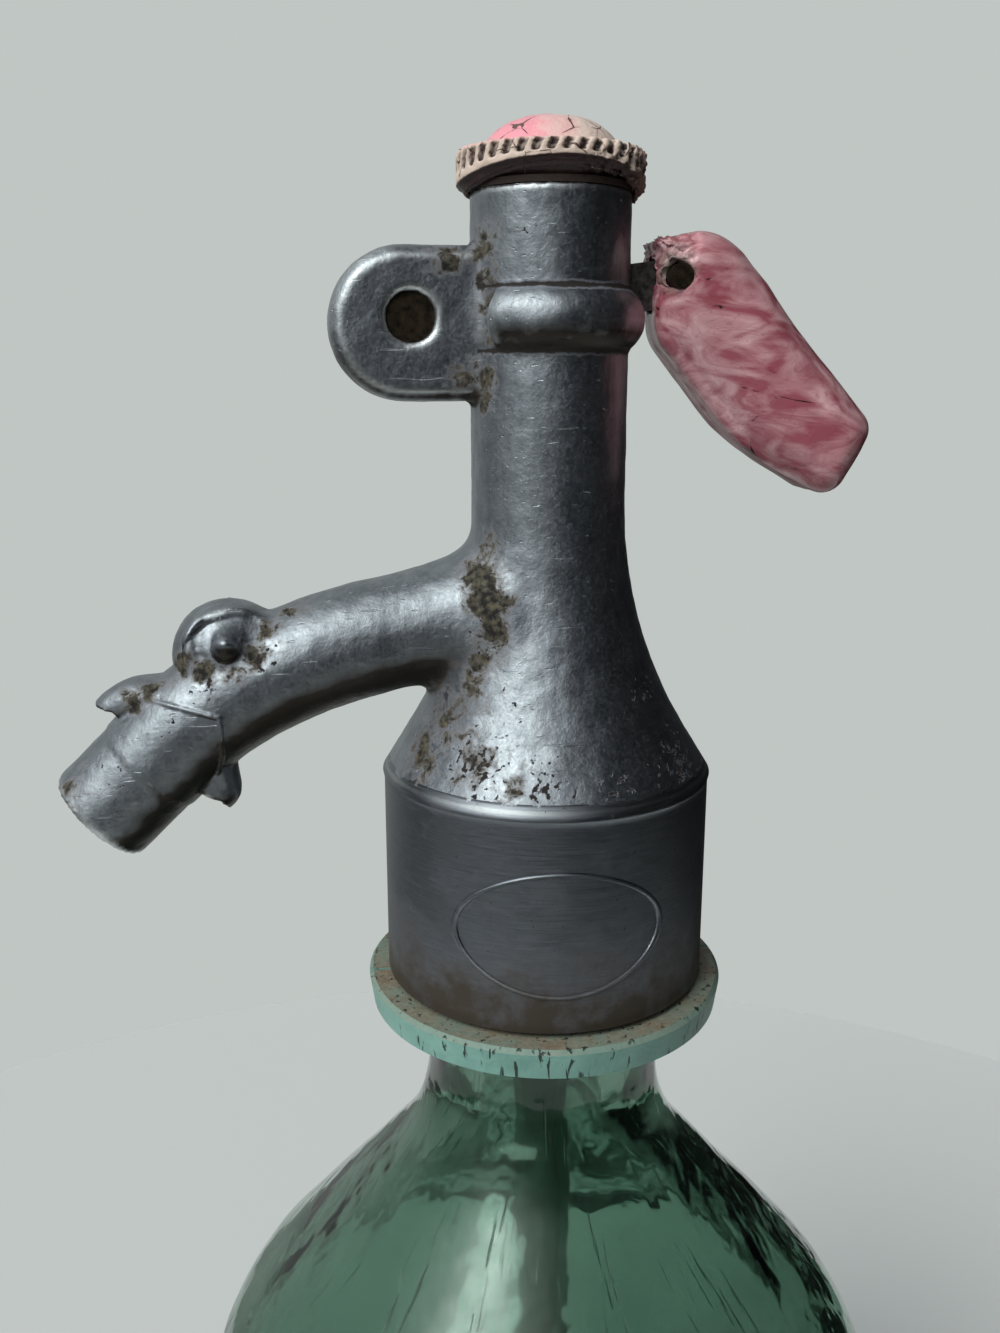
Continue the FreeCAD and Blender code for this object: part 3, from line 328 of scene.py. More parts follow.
def make_casting():
    """Bell, barrel, lug and spout: one rough casting whose joins run softly into each other."""
    piece = copy_node("head_body", "head_casting")
    slice_mesh(piece, BELL_FOOT + 0.1 * MM, keep_above=True, reach=BELL_REACH)
    bpy.ops.mesh.extrude_region_move(TRANSFORM_OT_translate={"value": (0, 0, -1.0 * MM)})
    close_mesh()
    modify(piece, "REMESH", mode="VOXEL", voxel_size=0.58 * MM, use_smooth_shade=True)
    modify(piece, "SMOOTH", iterations=4)

    def detailed(face):
        """Whether the face is on the crown, the lips or the mouth's line."""
        place = face.calc_center_median()
        if place.x > NAPE or (place - NOZZLE_START).length > 18 * MM:
            return False
        close = min((place - CROWN).length - 8.8 * MM, (place - LIPS[0]).length - 4 * MM,
                    (place - LIPS[1]).length - 4.5 * MM)
        return close < 0 or off_line(place, MOUTH_LINE) < 0.9 * MM
    open_mesh(piece)
    pick(piece, "faces", detailed)
    bpy.ops.mesh.subdivide(number_cuts=2)
    close_mesh()
    above = weigh(piece, "above the collar", lambda v: v.co.z > BELL_FOOT + 0.4 * MM
                  or v.co.xy.length > BELL_REACH)
    modify(piece, "SHRINKWRAP", target=frame["nodes"]["head_body"], vertex_group=above,
           wrap_method="NEAREST_SURFACEPOINT")
    modify(piece, "SMOOTH", iterations=2)

    def soft(vertex):
        root = near(vertex.co, SPOUT_ROOT, 16 * MM) * 2.2
        lug = near(vertex.co, LUG_ROOT, 6 * MM) * 1.5
        outside = math.hypot(vertex.co.x, vertex.co.y) > BARREL_RADIUS - 0.6 * MM
        return max(root, lug) if outside else 0
    modify(piece, "SMOOTH", iterations=130, vertex_group=weigh(piece, "soft joins", soft))
    carve_eye(piece)
    round_bead_ends(piece)
    modify(piece, "DISPLACE", texture=clouds("cast skin", 3 * MM), strength=0.2 * MM)

    def flash(vertex):
        if vertex.co.x > NAPE:
            return 0
        return 1 - off_line(vertex.co, MOUTH_LINE) / (0.45 * MM)
    modify(piece, "DISPLACE", strength=0.34 * MM, mid_level=0,
           vertex_group=weigh(piece, "mouth flash", flash))
    paint(piece, "crust", CRUST)
    paint(piece, "pitted", PITTED)
    return piece


def make_engraving(name):
    """A thin tube bent into an oval that lies on the collar's surface, to cut a groove."""
    half_width, half_height, level = 14.2 * MM, 8.4 * MM, HEAD_BASE + 13.4 * MM
    groove, turn = 0.3 * MM, math.radians(-5.5)
    activate(frame["nodes"]["head_body"])
    bpy.ops.object.select_all(action="DESELECT")
    bpy.ops.mesh.primitive_torus_add(major_radius=half_height, minor_radius=groove,
                                     major_segments=160, minor_segments=10,
                                     rotation=(math.pi / 2, 0, 0))
    oval = bpy.context.object
    oval.name = name
    bpy.ops.object.transform_apply(rotation=True)
    open_mesh(oval)
    bpy.ops.mesh.select_all(action="SELECT")
    bpy.ops.transform.resize(value=(half_width / half_height, 1, 1), center_override=(0, 0, 0))
    close_mesh()
    for vertex in oval.data.vertices:
        # Slimmer towards its ends than an ellipse, then wrapped round the collar
        vertex.co.z *= 1 - 0.12 * (vertex.co.x / half_width) ** 2
        angle = vertex.co.x / COLLAR_RADIUS + turn
        radius = COLLAR_RADIUS - vertex.co.y
        vertex.co = (radius * math.sin(angle), -radius * math.cos(angle), vertex.co.z + level)
    return oval


def make_collar():
    """The collar below the bell, turned to a satin finish, with a plain oval groove."""
    piece = copy_node("head_body", "head_collar")
    slice_mesh(piece, COLLAR_END, keep_above=False)
    bpy.ops.mesh.select_all(action="DESELECT")
    pick(piece, "verts", lambda vert: vert.co.xy.length > COLLAR_RADIUS + 1 * MM)
    bpy.ops.mesh.delete(type="VERT")
    spin_section(piece, 0.8 * MM, 240)
    oval = make_engraving("collar_engraving")
    modify(piece, "BOOLEAN", object=oval, operation="DIFFERENCE", solver="EXACT")
    bpy.data.objects.remove(oval)
    smooth_shade(piece, 30)
    return piece


# ---------------------------------------------------------------------------------------------
# Bottle
# ---------------------------------------------------------------------------------------------
def make_bottle():
    """Blown bottle: the part's own half section spun round the axis, then made uneven."""
    piece = copy_node("bottle", "bottle_glass")
    open_mesh(piece)
    spin_section(piece, 2.2 * MM, 176)
    heel = 6 * MM

    def side(vertex, sign):
        """1 on the wall's outer face, or inner for a sign of -1, fading at the heel and mouth."""
        outward = vertex.normal.xy.dot(vertex.co.xy)
        rise = min((vertex.co.z - heel) / heel, (BOTTLE_MOUTH - vertex.co.z) / heel)
        return rise if outward * sign > 0 else 0
    modify(piece, "DISPLACE", texture=clouds("blown skin", 13 * MM, 1), strength=0.5 * MM,
           mid_level=1, vertex_group=weigh(piece, "outside", lambda v: side(v, 1)))
    modify(piece, "DISPLACE", texture=clouds("mould skin", 9 * MM, 1), strength=0.6 * MM,
           vertex_group=weigh(piece, "inside", lambda v: side(v, -1)))
    smooth_shade(piece, 60)
    return piece


# ---------------------------------------------------------------------------------------------
# Grip, cap and spring
# ---------------------------------------------------------------------------------------------
def make_grip():
    """Pressed grip, rubbed round, its upper inner corner broken away to a crumbling core."""
    piece = copy_node("grip", "grip_moulding")
    modify(piece, "REMESH", mode="VOXEL", voxel_size=0.28 * MM, use_smooth_shade=True)
    modify(piece, "SMOOTH", iterations=8)
    modify(piece, "DISPLACE", texture=clouds("grip lumps", 9 * MM), strength=0.7 * MM,
           mid_level=0.6)
    # Where the upper edge starts, the way it runs and the way it faces
    shoulder = PIVOT + Vector((40.2, 0, 11.3)) * MM
    ahead, outward = Vector((0.659, 0, -0.752)), Vector((0.752, 0, 0.659))
    for vertex in piece.data.vertices:
        along = (vertex.co - shoulder).dot(ahead)
        out = (vertex.co - shoulder).dot(outward)
        # The two faces are domed across, and the upper edge is hollow towards the tip
        across = min(abs(out / (6.5 * MM) + 1), 1.2)
        vertex.co.y *= 1 - 0.26 * across ** 2
        hollow = math.sin(math.pi * clamp((along / MM - 9) / 23))
        vertex.co -= outward * (0.45 * MM * hollow * clamp(out / (10 * MM) + 1))
    corner = Vector((GRIP_LOW.x, GRIP_LOW.y, GRIP_HIGH.z))

    def broken(vertex):
        away = vertex.co - corner
        across = max(0.0, away.y / (GRIP_HIGH.y - GRIP_LOW.y))
        reach = (away.x * 1.05 - away.z * 0.55) / (6.8 * MM) + across * 0.5
        return (1 - reach) * 4
    group = weigh(piece, "broken", broken)
    modify(piece, "DISPLACE", texture=clouds("crumbs", 1.3 * MM, 3), strength=2.6 * MM,
           mid_level=0.78, vertex_group=group)
    modify(piece, "SMOOTH", iterations=2, vertex_group=group)
    return piece


def make_cap():
    """Pressed screw cap: shrunk and cracked, its rim crumbling on the grip's side."""
    piece = copy_node("screw_cap", "cap_moulding")
    modify(piece, "REMESH", mode="VOXEL", voxel_size=0.24 * MM, use_smooth_shade=True)
    modify(piece, "SMOOTH", iterations=3)
    modify(piece, "DISPLACE", texture=clouds("cap warp", 5 * MM), strength=0.4 * MM,
           mid_level=0.65)
    for vertex in piece.data.vertices:
        # The skirt has shrunk up to half its height in front, and droops on the grip's side
        x, y, z = vertex.co
        radius = max(math.hypot(x, y), MM)
        skirt = clamp((radius - 9.6 * MM) / (1.2 * MM)) * max(0, CAP_BRIM - z)
        vertex.co.z += skirt * (0.5 * max(0, -y / radius) ** 1.3 - 0.16 * max(0, x / radius) ** 2)

    def crumbling(vertex):
        x, y, z = vertex.co
        radius = math.hypot(x, y)
        side = x / max(radius, MM) * 0.8 - y / max(radius, MM) * 0.35
        low = 1 - (z - CAP_FOOT) / (6 * MM)
        return (side - 0.35) * 2.4 * low if radius > 9.5 * MM else 0
    modify(piece, "DISPLACE", texture=clouds("crumbling rim", 1.1 * MM, 3), strength=1.5 * MM,
           mid_level=0.62, vertex_group=weigh(piece, "crumbling", crumbling))
    return piece


def make_spring():
    """Return spring, which on the real siphon shortens as the lever drives the valve down; here
    shaded smooth, with a mesh of its own.
    """
    piece = copy_node("return_spring", "spring_coil")
    smooth_shade(piece)
    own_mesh(piece)
    return piece


# ---------------------------------------------------------------------------------------------
# Materials
# ---------------------------------------------------------------------------------------------
def tint(code):
    """Linear colour of an sRGB hex value."""
    parts = [int(code[i:i + 2], 16) / 255 for i in (1, 3, 5)]
    return [c / 12.92 if c <= 0.04045 else ((c + 0.055) / 1.055) ** 2.4 for c in parts] + [1.0]


def per(millimetres):
    """Pattern scale at which one cell of the pattern is about that large."""
    return 1 / (millimetres * MM)


# Settings of a Mix node for colours, which go into its sockets 6 and 7
COLOUR = {"data_type": "RGBA", "out": 2}


def add(tree, kind, sockets=None, out=0, **settings):
    """Adds a shader node with its settings, values and links; gives one output socket."""
    made = tree.nodes.new("ShaderNode" + kind)
    for name, value in settings.items():
        setattr(made, name, value)
    for key, value in (sockets or {}).items():
        if isinstance(value, bpy.types.NodeSocket):
            tree.links.new(value, made.inputs[key])
        else:
            made.inputs[key].default_value = value
    return made.outputs[out]


def new_material(name, **shader_values):
    """A material with an empty Principled shader, its tree and its object coordinates."""
    material = bpy.data.materials.new(name)
    material.use_nodes = True
    tree = material.node_tree
    shader = tree.nodes["Principled BSDF"]
    for key, value in shader_values.items():
        shader.inputs[key.replace("_", " ")].default_value = value
    place = add(tree, "TexCoord", out="Object")
    return material, tree, shader, place


def finish_material(tree, shader, colour, roughness, height, depth, metallic=None):
    """Links the worked-out colour, roughness and relief to the shader."""
    bump = add(tree, "Bump", {"Strength": 1.0, "Distance": depth, "Height": height}, out="Normal")
    tree.links.new(colour, shader.inputs["Base Color"])
    tree.links.new(roughness, shader.inputs["Roughness"])
    tree.links.new(bump, shader.inputs["Normal"])
    if metallic:
        tree.links.new(metallic, shader.inputs["Metallic"])


def spot(tree, place, centre, reach, edge):
    """1 near a point of the object, falling to 0 at the reach; edge roughens its outline."""
    away = add(tree, "VectorMath", {0: place, 1: centre}, out="Value", operation="DISTANCE")
    ragged = add(tree, "Math", {0: edge, 1: reach * 0.9, 2: away}, operation="MULTIPLY_ADD")
    return add(tree, "MapRange", {"Value": ragged, "From Min": reach * 1.3,
                                  "From Max": reach * 0.7}, interpolation_type="SMOOTHSTEP")


def facing_up(tree):
    """How far the surface faces up: 1 level, 0 upright, -1 underneath."""
    facing = add(tree, "NewGeometry", out="Normal")
    return add(tree, "SeparateXYZ", {0: facing}, out="Z")


def off_level(tree, height, level):
    """How far a height is above or below a level."""
    above = add(tree, "Math", {0: height, 1: level}, operation="SUBTRACT")
    return add(tree, "Math", {0: above}, operation="ABSOLUTE")


def cracks(tree, place, cell_mm, wander, reach, width):
    """Thin cracks round large cells; wander breaks their lines up, and the width is a share."""
    cells = add(tree, "TexVoronoi", {"Vector": place, "Scale": per(cell_mm)},
                feature="DISTANCE_TO_EDGE")
    broken = add(tree, "Math", {0: wander, 1: reach, 2: cells}, operation="MULTIPLY_ADD")
    return add(tree, "MapRange", {"Value": broken, "From Min": width[0], "From Max": width[1]})


def cast_aluminium():
    """Cast aluminium rubbed smooth and gone blue-grey: grime caked in the joins, gas pits on the
    bell, painted shade underneath and along the bead.
    """
    material, tree, shader, place = new_material("rubbed_cast_aluminium", Metallic=1.0)
    grain = add(tree, "TexNoise", {"Vector": place, "Scale": per(0.45), "Detail": 3.0,
                                   "Roughness": 0.6})
    cloud = add(tree, "TexNoise", {"Vector": place, "Scale": per(4), "Detail": 5.0,
                                   "Roughness": 0.6})
    upright = add(tree, "Mapping", {"Vector": place, "Scale": (1, 1, 0.2)})
    runs = add(tree, "TexNoise", {"Vector": upright, "Scale": per(1.4), "Detail": 4.0,
                                  "Roughness": 0.6})
    wear = add(tree, "Attribute", out="Fac", attribute_name="wear")
    crust_mark = add(tree, "Attribute", out="Fac", attribute_name="crust")
    pit_mark = add(tree, "Attribute", out="Fac", attribute_name="pitted")
    # Oxide film in soft clouds, drawn down the barrel by the runs
    film = add(tree, "Mix", {0: 0.45, 2: cloud, 3: runs})
    skin = add(tree, "MapRange", {"Value": film, "From Min": 0.36, "From Max": 0.64})
    dull = add(tree, "Mix", {0: skin, 6: tint("#8b9096"), 7: tint("#afb4ba")}, **COLOUR)
    # Painted shade: the film turns dark brown where the surface faces down
    below = add(tree, "MapRange", {"Value": facing_up(tree), "From Min": -0.03, "From Max": -0.38,
                                   "To Max": 0.97})
    shaded_underneath = add(tree, "Mix", {0: below, 6: dull, 7: tint("#3a332e")}, **COLOUR)
    rubbed = add(tree, "MapRange", {"Value": wear, "From Min": 0.07, "From Max": 0.24})
    rubbed_colour = add(tree, "Mix", {0: rubbed, 6: shaded_underneath, 7: tint("#d9dcdd")}, **COLOUR)
    # Gas pits 0.3 to 0.8 mm wide where the casting is marked as pitted
    holes = add(tree, "TexNoise", {"Vector": place, "Scale": per(0.85), "Detail": 2.0,
                                   "Roughness": 0.5})
    clusters = add(tree, "Math", {0: cloud, 1: 0.3, 2: holes}, operation="MULTIPLY_ADD")
    pit_share = add(tree, "Math", {0: pit_mark, 1: 0.34, 2: clusters}, operation="MULTIPLY_ADD")
    pits = add(tree, "MapRange", {"Value": pit_share, "From Min": 1.03, "From Max": 1.09})
    # Caked dirt with a ragged edge, in a thinner brown film
    rags = add(tree, "TexNoise", {"Vector": place, "Scale": per(2.4), "Detail": 5.0,
                                  "Roughness": 0.68, "Distortion": 0.4})
    crumbly = add(tree, "Math", {0: rags, 1: 2.4, 2: crust_mark}, operation="MULTIPLY_ADD")
    crust = add(tree, "MapRange", {"Value": crumbly, "From Min": 1.72, "From Max": 1.9})
    stain = add(tree, "MapRange", {"Value": crumbly, "From Min": 1.4, "From Max": 1.8,
                                   "To Max": 0.8})
    marked = add(tree, "Math", {0: crust_mark, 1: 0.04}, operation="GREATER_THAN")
    film_share = add(tree, "Math", {0: stain, 1: marked}, operation="MULTIPLY")
    stained = add(tree, "Mix", {0: film_share, 6: rubbed_colour, 7: tint("#5f574a")}, **COLOUR)
    # Painted shade: dark lines in the creases above and below the bead. Also dark hollows
    height = add(tree, "SeparateXYZ", {0: place}, out="Z")
    off_bead = off_level(tree, height, BEAD_HEIGHT)
    off_edge = off_level(tree, off_bead, BEAD_HALF + 0.1 * MM)
    wide = add(tree, "Math", {0: rags, 1: -1.0 * MM, 2: off_edge}, operation="MULTIPLY_ADD")
    line = add(tree, "MapRange", {"Value": wide, "From Min": 0.1 * MM, "From Max": -0.3 * MM})
    beside = add(tree, "SeparateXYZ", {0: place}, out="X")
    on_barrel = add(tree, "Math", {0: beside, 1: 0.3 * MM - BARREL_RADIUS},
                    operation="GREATER_THAN")
    groove = add(tree, "Math", {0: line, 1: on_barrel}, operation="MULTIPLY")
    hollow = add(tree, "MapRange", {"Value": wear, "From Min": -0.11, "From Max": -0.2})
    bead_shade_and_hollows = add(tree, "Math", {0: hollow, 1: groove}, operation="MAXIMUM")
    dark = add(tree, "Math", {0: bead_shade_and_hollows, 1: pits}, operation="MAXIMUM")
    crumbs = add(tree, "MapRange", {"Value": holes, "From Min": 0.38, "From Max": 0.7})
    earth = add(tree, "Mix", {0: crumbs, 6: tint("#171510"), 7: tint("#55503f")}, **COLOUR)
    caked = add(tree, "Mix", {0: crust, 6: stained, 7: earth}, **COLOUR)
    colour = add(tree, "Mix", {0: dark, 6: caked, 7: tint("#221d18")}, **COLOUR)
    filth = add(tree, "Math", {0: film_share, 1: 0.6}, operation="MULTIPLY")
    # Crust, pits and the painted shade lines at the bead also make the metal dull and rough
    darkened = add(tree, "Math", {0: crust, 1: dark}, operation="MAXIMUM")
    dirt_and_shade = add(tree, "Math", {0: darkened, 1: filth}, operation="MAXIMUM")
    metal = add(tree, "MapRange", {"Value": dirt_and_shade, "To Min": 1.0, "To Max": 0.0})
    smooth = add(tree, "MapRange", {"Value": grain, "From Min": 0.35, "From Max": 0.65,
                                    "To Min": 0.33, "To Max": 0.45})
    rough = add(tree, "Mix", {0: dirt_and_shade, 2: smooth, 3: 0.85})
    # Fine scratches, and the dented skin of the casting
    slanted = add(tree, "Mapping", {"Vector": place, "Rotation": (0.5, 0.6, 0.3),
                                    "Scale": (0.06, 1, 1)})
    scratches = add(tree, "TexNoise", {"Vector": slanted, "Scale": per(0.5), "Detail": 1.0})
    scored = add(tree, "MapRange", {"Value": scratches, "From Min": 0.7, "From Max": 0.78,
                                    "To Max": -0.5})
    dents = add(tree, "TexNoise", {"Vector": place, "Scale": per(1.3), "Detail": 4.0,
                                   "Roughness": 0.62})
    skin_relief = add(tree, "Math", {0: dents, 1: 1.2, 2: scored}, operation="MULTIPLY_ADD")
    relief = add(tree, "Math", {0: darkened, 1: -0.3, 2: skin_relief}, operation="MULTIPLY_ADD")
    finish_material(tree, shader, colour, rough, relief, 0.085 * MM, metal)
    return material


def turned_aluminium():
    """Cast aluminium turned on a lathe: fine rings round the collar, stained brown low down."""
    material, tree, shader, place = new_material("turned_aluminium", Metallic=1.0)
    stretched = add(tree, "Mapping", {"Vector": place, "Scale": (0.03, 0.03, 1.0)})
    rings = add(tree, "TexNoise", {"Vector": stretched, "Scale": per(0.12), "Detail": 3.0,
                                   "Roughness": 0.7})
    cloud = add(tree, "TexNoise", {"Vector": place, "Scale": per(6), "Detail": 5.0,
                                   "Roughness": 0.62})
    grain = add(tree, "TexNoise", {"Vector": place, "Scale": per(0.5), "Detail": 3.0})
    tone = add(tree, "MapRange", {"Value": rings, "From Min": 0.3, "From Max": 0.7})
    metal = add(tree, "Mix", {0: tone, 6: tint("#75797f"), 7: tint("#90949a")}, **COLOUR)
    height = add(tree, "SeparateXYZ", {0: place}, out="Z")
    low = add(tree, "MapRange", {"Value": height, "From Min": HEAD_BASE + 15 * MM,
                                 "From Max": HEAD_BASE - 1 * MM})
    blotch = add(tree, "Math", {0: cloud, 1: 1.5, 2: low}, operation="MULTIPLY_ADD")
    stain = add(tree, "MapRange", {"Value": blotch, "From Min": 0.85, "From Max": 1.6})
    marks = add(tree, "MapRange", {"Value": grain, "From Min": 0.66, "From Max": 0.74})
    darkened = add(tree, "Math", {0: stain, 1: marks}, operation="MAXIMUM")
    # Bright worn corner under the bell, and a dark oval groove
    corner_gap = off_level(tree, height, BELL_FOOT)
    worn = add(tree, "Math", {0: cloud, 1: -0.6 * MM, 2: corner_gap}, operation="MULTIPLY_ADD")
    corner = add(tree, "MapRange", {"Value": worn, "From Min": 0.0, "From Max": -0.2 * MM})
    rubbed = add(tree, "Mix", {0: corner, 6: metal, 7: tint("#a5a9ac")}, **COLOUR)
    flat = add(tree, "VectorMath", {0: place, 1: (1, 1, 0)}, operation="MULTIPLY")
    radius = add(tree, "VectorMath", {0: flat}, out="Value", operation="LENGTH")
    sunk = add(tree, "MapRange", {"Value": radius, "From Min": COLLAR_RADIUS - 0.03 * MM,
                                  "From Max": COLLAR_RADIUS - 0.12 * MM})
    under = add(tree, "Math", {0: height, 1: BELL_FOOT - 1.5 * MM}, operation="LESS_THAN")
    groove = add(tree, "Math", {0: sunk, 1: under}, operation="MULTIPLY")
    soiled = add(tree, "Mix", {0: darkened, 6: rubbed, 7: tint("#463f36")}, **COLOUR)
    colour = add(tree, "Mix", {0: groove, 6: soiled, 7: tint("#1a1714")}, **COLOUR)
    metallic = add(tree, "MapRange", {"Value": darkened, "To Min": 1.0, "To Max": 0.5})
    rough = add(tree, "MapRange", {"Value": rings, "From Min": 0.3, "From Max": 0.7, "To Min": 0.3,
                                   "To Max": 0.42})
    finish_material(tree, shader, colour, rough, rings, 0.009 * MM, metallic)
    return material


def bottle_glass():
    """Thick green bottle glass: tinted through its depth, with chill wrinkles down the wall."""
    material, tree, shader, place = new_material(
        "green_bottle_glass", IOR=1.52, Transmission_Weight=1.0)
    flat = add(tree, "VectorMath", {0: place, 1: (1, 1, 0)}, operation="MULTIPLY")
    round_wall = add(tree, "VectorMath", {0: flat}, operation="NORMALIZE")
    ring = add(tree, "VectorMath", {0: round_wall, "Scale": 50 * MM}, operation="SCALE")
    drop = add(tree, "VectorMath", {0: place, 1: (0, 0, 0.14)}, operation="MULTIPLY")
    wall = add(tree, "VectorMath", {0: ring, 1: drop}, operation="ADD")
    streaks = add(tree, "TexNoise", {"Vector": wall, "Scale": per(1.8), "Detail": 4.0,
                                     "Roughness": 0.55, "Distortion": 0.25})
    ripples = add(tree, "TexNoise", {"Vector": place, "Scale": per(7), "Detail": 2.0})
    dark = add(tree, "MapRange", {"Value": streaks, "From Min": 0.66, "From Max": 0.73})
    height = add(tree, "SeparateXYZ", {0: place}, out="Z")
    upper = add(tree, "MapRange", {"Value": height, "From Min": 120 * MM, "From Max": 180 * MM,
                                   "To Min": 0.25, "To Max": 1.0})
    chill = add(tree, "Math", {0: dark, 1: upper}, operation="MULTIPLY")
    colour = add(tree, "Mix", {0: chill, 6: tint("#bfd6cb"), 7: tint("#3f5b4b")}, **COLOUR)
    rough = add(tree, "MapRange", {"Value": ripples, "To Min": 0.02, "To Max": 0.1})
    relief = add(tree, "Math", {0: chill, 1: -0.4, 2: ripples}, operation="MULTIPLY_ADD")
    finish_material(tree, shader, colour, rough, relief, 0.32 * MM)
    depth = add(tree, "VolumeAbsorption", {"Color": tint("#97bfab"), "Density": 88.0})
    tree.links.new(depth, tree.nodes["Material Output"].inputs["Volume"])
    return material


def tube_glass():
    """Thin drawn glass of the dip tube, slightly green and clouded by lime."""
    material, tree, shader, place = new_material(
        "drawn_tube_glass", IOR=1.5, Transmission_Weight=0.8)
    lime = add(tree, "TexNoise", {"Vector": place, "Scale": per(3), "Detail": 4.0})
    colour = add(tree, "Mix", {0: lime, 6: tint("#b9c9be"), 7: tint("#8fa596")}, **COLOUR)
    rough = add(tree, "MapRange", {"Value": lime, "To Min": 0.05, "To Max": 0.3})
    finish_material(tree, shader, colour, rough, lime, 0.03 * MM)
    return material


def mint_plastic():
    """Old pressed plastic of the neck ring: mint green, grimed tan on top, cracked at the edge."""
    material, tree, shader, place = new_material("aged_mint_plastic", IOR=1.5)
    flat = add(tree, "VectorMath", {0: place, 1: (1, 1, 0.12)}, operation="MULTIPLY")
    rifts = add(tree, "TexNoise", {"Vector": flat, "Scale": per(0.9), "Detail": 3.0,
                                   "Roughness": 0.6, "Distortion": 0.4})
    cloud = add(tree, "TexNoise", {"Vector": place, "Scale": per(5), "Detail": 5.0,
                                   "Roughness": 0.65})
    grain = add(tree, "TexNoise", {"Vector": place, "Scale": per(0.6), "Detail": 3.0})
    mint = add(tree, "Mix", {0: cloud, 6: tint("#4f776c"), 7: tint("#82ab9b")}, **COLOUR)
    top = add(tree, "MapRange", {"Value": facing_up(tree), "From Min": 0.35, "From Max": 0.9})
    worn = add(tree, "Math", {0: cloud, 1: 1.6, 2: 0.05}, use_clamp=True, operation="MULTIPLY_ADD")
    grime = add(tree, "Math", {0: top, 1: worn}, operation="MULTIPLY")
    tan = add(tree, "Mix", {0: grain, 6: tint("#4a4336"), 7: tint("#857a63")}, **COLOUR)
    soiled = add(tree, "Mix", {0: grime, 6: mint, 7: tan}, **COLOUR)
    split = add(tree, "MapRange", {"Value": rifts, "From Min": 0.39, "From Max": 0.34})
    colour = add(tree, "Mix", {0: split, 6: soiled, 7: tint("#26302a")}, **COLOUR)
    rough = add(tree, "MapRange", {"Value": grime, "To Min": 0.42, "To Max": 0.8})
    relief = add(tree, "Math", {0: split, 1: -2.0, 2: grain}, operation="MULTIPLY_ADD")
    finish_material(tree, shader, colour, rough, relief, 0.08 * MM)
    return material


def marbled_plastic():
    """Glossy pressed plastic of the grip: pink with cream streaks, red swirls and fine cracks."""
    material, tree, shader, place = new_material(
        "marbled_pink_plastic", IOR=1.52, Coat_Weight=0.6, Coat_Roughness=0.12)
    slanted = add(tree, "Mapping", {"Vector": place, "Rotation": (0, 0.9, 0),
                                    "Scale": (0.35, 1, 1)})
    swirl = add(tree, "TexNoise", {"Vector": slanted, "Scale": per(4.2), "Detail": 4.0,
                                   "Roughness": 0.55, "Distortion": 1.6})
    veins = add(tree, "TexNoise", {"Vector": slanted, "Scale": per(3.0), "Detail": 2.0,
                                   "Roughness": 0.5, "Distortion": 2.2})
    grain = add(tree, "TexNoise", {"Vector": place, "Scale": per(0.5), "Detail": 4.0,
                                   "Roughness": 0.7})
    cream_share = add(tree, "MapRange", {"Value": swirl, "From Min": 0.4, "From Max": 0.68})
    pink = add(tree, "Mix", {0: cream_share, 6: tint("#975059"), 7: tint("#d0a5a4")}, **COLOUR)
    line = off_level(tree, veins, 0.5)
    red_share = add(tree, "MapRange", {"Value": line, "From Min": 0.02, "From Max": 0.0,
                                       "To Max": 0.45})
    veined = add(tree, "Mix", {0: red_share, 6: pink, 7: tint("#8e2f3c")}, **COLOUR)
    crack = cracks(tree, slanted, 6.5, swirl, 0.16, (0.07, 0.06))
    cracked = add(tree, "Mix", {0: crack, 6: veined, 7: tint("#3a1c1c")}, **COLOUR)
    core = spot(tree, place, Vector((GRIP_PIN.x - 1.2 * MM, GRIP_LOW.y + 1.5 * MM,
                                     GRIP_PIN.z + 1.2 * MM)), 4.6 * MM, swirl)
    rubble = add(tree, "Mix", {0: grain, 6: tint("#3b332b"), 7: tint("#9a8d7d")}, **COLOUR)
    colour = add(tree, "Mix", {0: core, 6: cracked, 7: rubble}, **COLOUR)
    rough = add(tree, "MapRange", {"Value": core, "To Min": 0.28, "To Max": 0.9})
    relief = add(tree, "Math", {0: core, 1: grain}, operation="MULTIPLY")
    dented = add(tree, "Math", {0: crack, 1: -0.6, 2: relief}, operation="MULTIPLY_ADD")
    finish_material(tree, shader, colour, rough, dented, 0.3 * MM)
    return material


